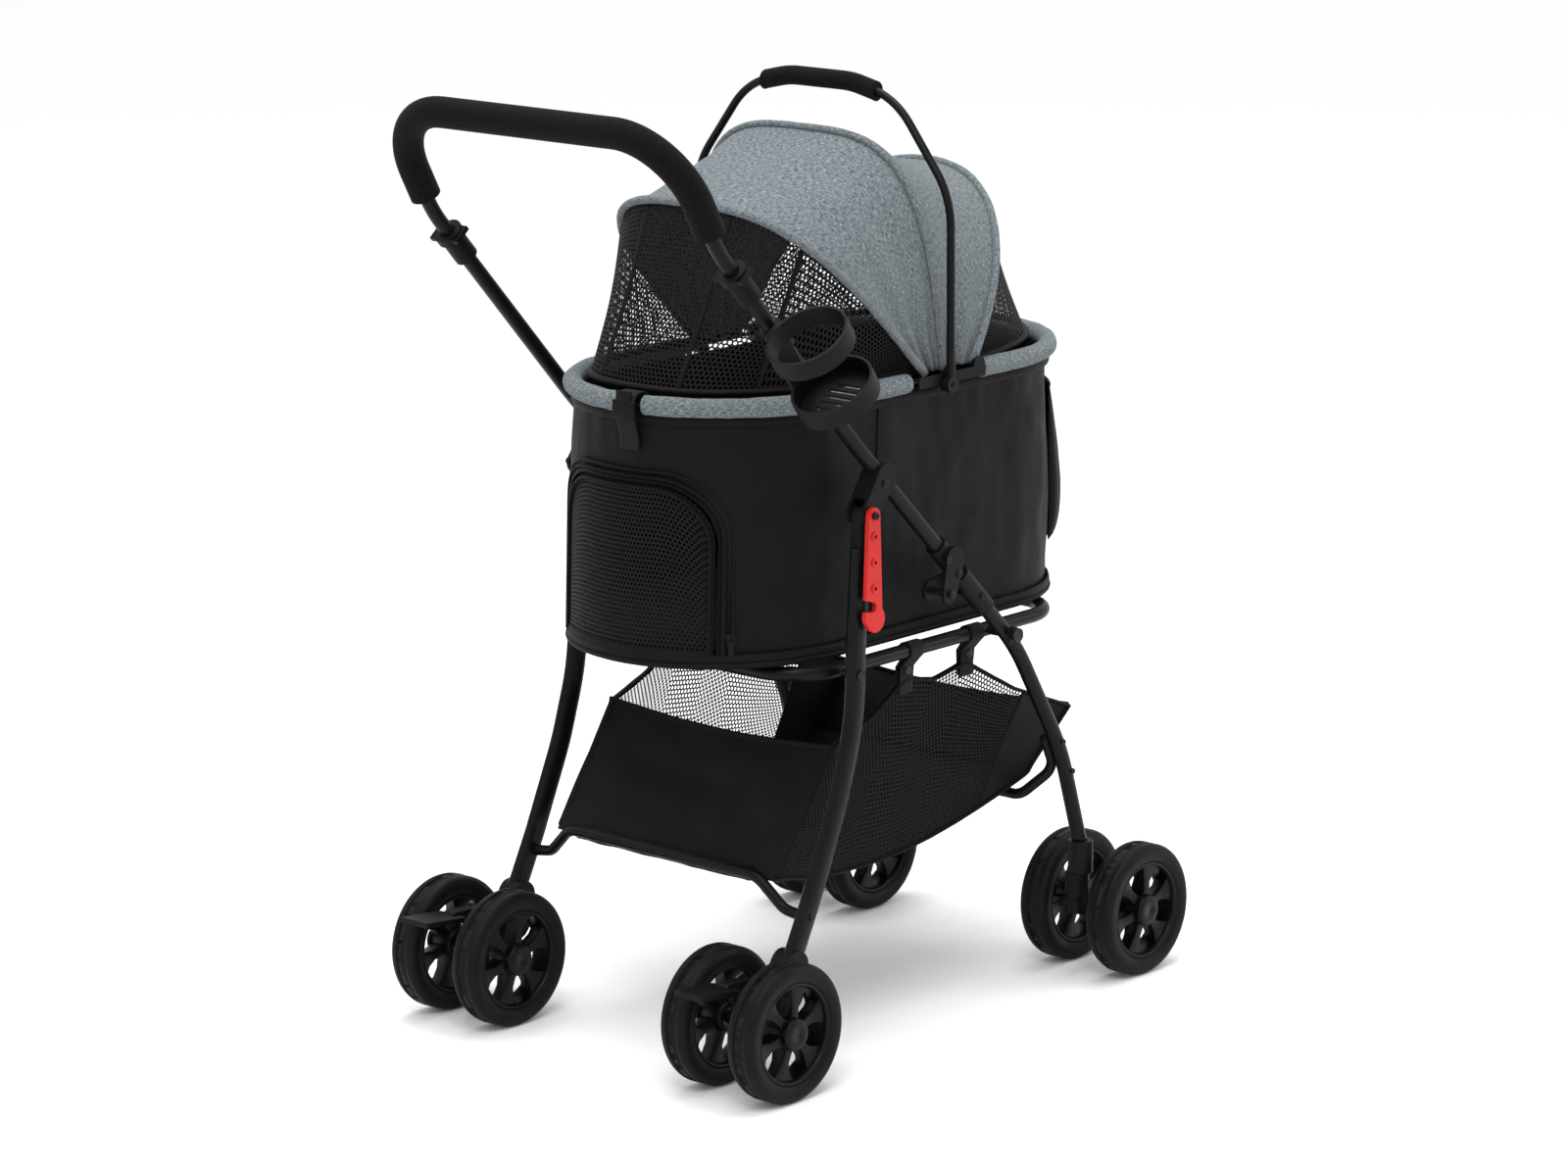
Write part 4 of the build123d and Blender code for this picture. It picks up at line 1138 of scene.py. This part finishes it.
def build_hook_bosses():
    """Raised rings round the holes of the red hook."""
    profile = [(2.3, -1.6), (4.6, -1.6), (5.0, -1.0), (5.0, 0.4), (2.3, 0.4)]
    for index, drop in enumerate((22, 50, 78)):
        centre = (HOOK_PIVOT[0], HOOK_FACE_Y, HOOK_PIVOT[1] - drop)
        lathe(f"hook_boss_{index}", profile, centre, RED, "red_hook", 32)


# ---- stage --------------------------------------------------------------------------
CAMERA_AZ, CAMERA_EL, CAMERA_ROLL = -47.894, 12.728, -0.407
CAMERA_FAR, CAMERA_LENS, CAMERA_SHIFT = 5.65215, 119.04, (0.01206, -0.0181)
CAMERA_AIM = (250.0, 0.0, 500.0)


def build_camera():
    az, el, roll = (math.radians(a) for a in (CAMERA_AZ, CAMERA_EL, CAMERA_ROLL))
    back = Vector((math.sin(az) * math.cos(el), -math.cos(az) * math.cos(el), math.sin(el)))
    right = Vector((math.cos(az), math.sin(az), 0))
    up = back.cross(right)
    tilted_right = right * math.cos(roll) + up * math.sin(roll)
    tilted_up = up * math.cos(roll) - right * math.sin(roll)
    data = bpy.data.cameras.new("camera")
    data.lens, data.sensor_width = CAMERA_LENS, 36.0
    data.shift_x, data.shift_y = CAMERA_SHIFT
    camera = bpy.data.objects.new("camera", data)
    bpy.context.collection.objects.link(camera)
    turn = Matrix((tilted_right, tilted_up, back)).transposed().to_4x4()
    spot = Vector(place(CAMERA_AIM)) + back * CAMERA_FAR
    camera.matrix_world = Matrix.Translation(spot) @ turn
    bpy.context.scene.camera = camera


def area_light(name, at, aim, size, power):
    data = bpy.data.lights.new(name, "AREA")
    data.shape, data.size, data.energy = "DISK", size, power
    lamp = bpy.data.objects.new(name, data)
    bpy.context.collection.objects.link(lamp)
    lamp.location = at
    lamp.rotation_euler = (Vector(aim) - Vector(at)).to_track_quat("-Z", "Y").to_euler()


def build_stage():
    m = Shader("pale_floor", roughness=0.9, specular=0.1)
    m.set_colour(m.ramp(m.noise(900, 2), [(0.3, (0.96, 0.96, 0.96)), (0.7, (0.98, 0.98, 0.98))]))
    size = 14.0
    mesh = bpy.data.meshes.new("floor")
    corners = [(-size, -size, 0), (size, -size, 0), (size, size, 0), (-size, size, 0)]
    mesh.from_pydata(corners, [], [(0, 1, 2, 3)])
    floor = bpy.data.objects.new("floor", mesh)
    bpy.context.collection.objects.link(floor)
    mesh.materials.append(m.material)
    world = bpy.data.worlds.new("studio")
    world.use_nodes = True
    sky = world.node_tree.nodes["Background"].inputs
    sky["Color"].default_value, sky["Strength"].default_value = (1, 1, 1, 1), 1.0
    bpy.context.scene.world = world
    bpy.context.scene.view_settings.view_transform = "Standard"
    area_light("key", (-2.0, -1.4, 3.2), (0, 0, 0.6), 1.6, 40)
    area_light("side", (2.6, -2.4, 1.6), (0, 0, 0.5), 1.2, 16)
    area_light("top", (0.1, 0.2, 3.4), (0, 0, 0.4), 2.6, 75)


paint_cad_nodes()
build_hood()
build_tub()
build_rim()
build_rear_door()
build_pocket()
build_strap()
build_pad()
build_basket()
for wheel_name in [n for n in frame["nodes"] if "wheel" in n]:
    build_wheel(wheel_name)
build_rivets()
build_hook_bosses()
build_camera()
build_stage()
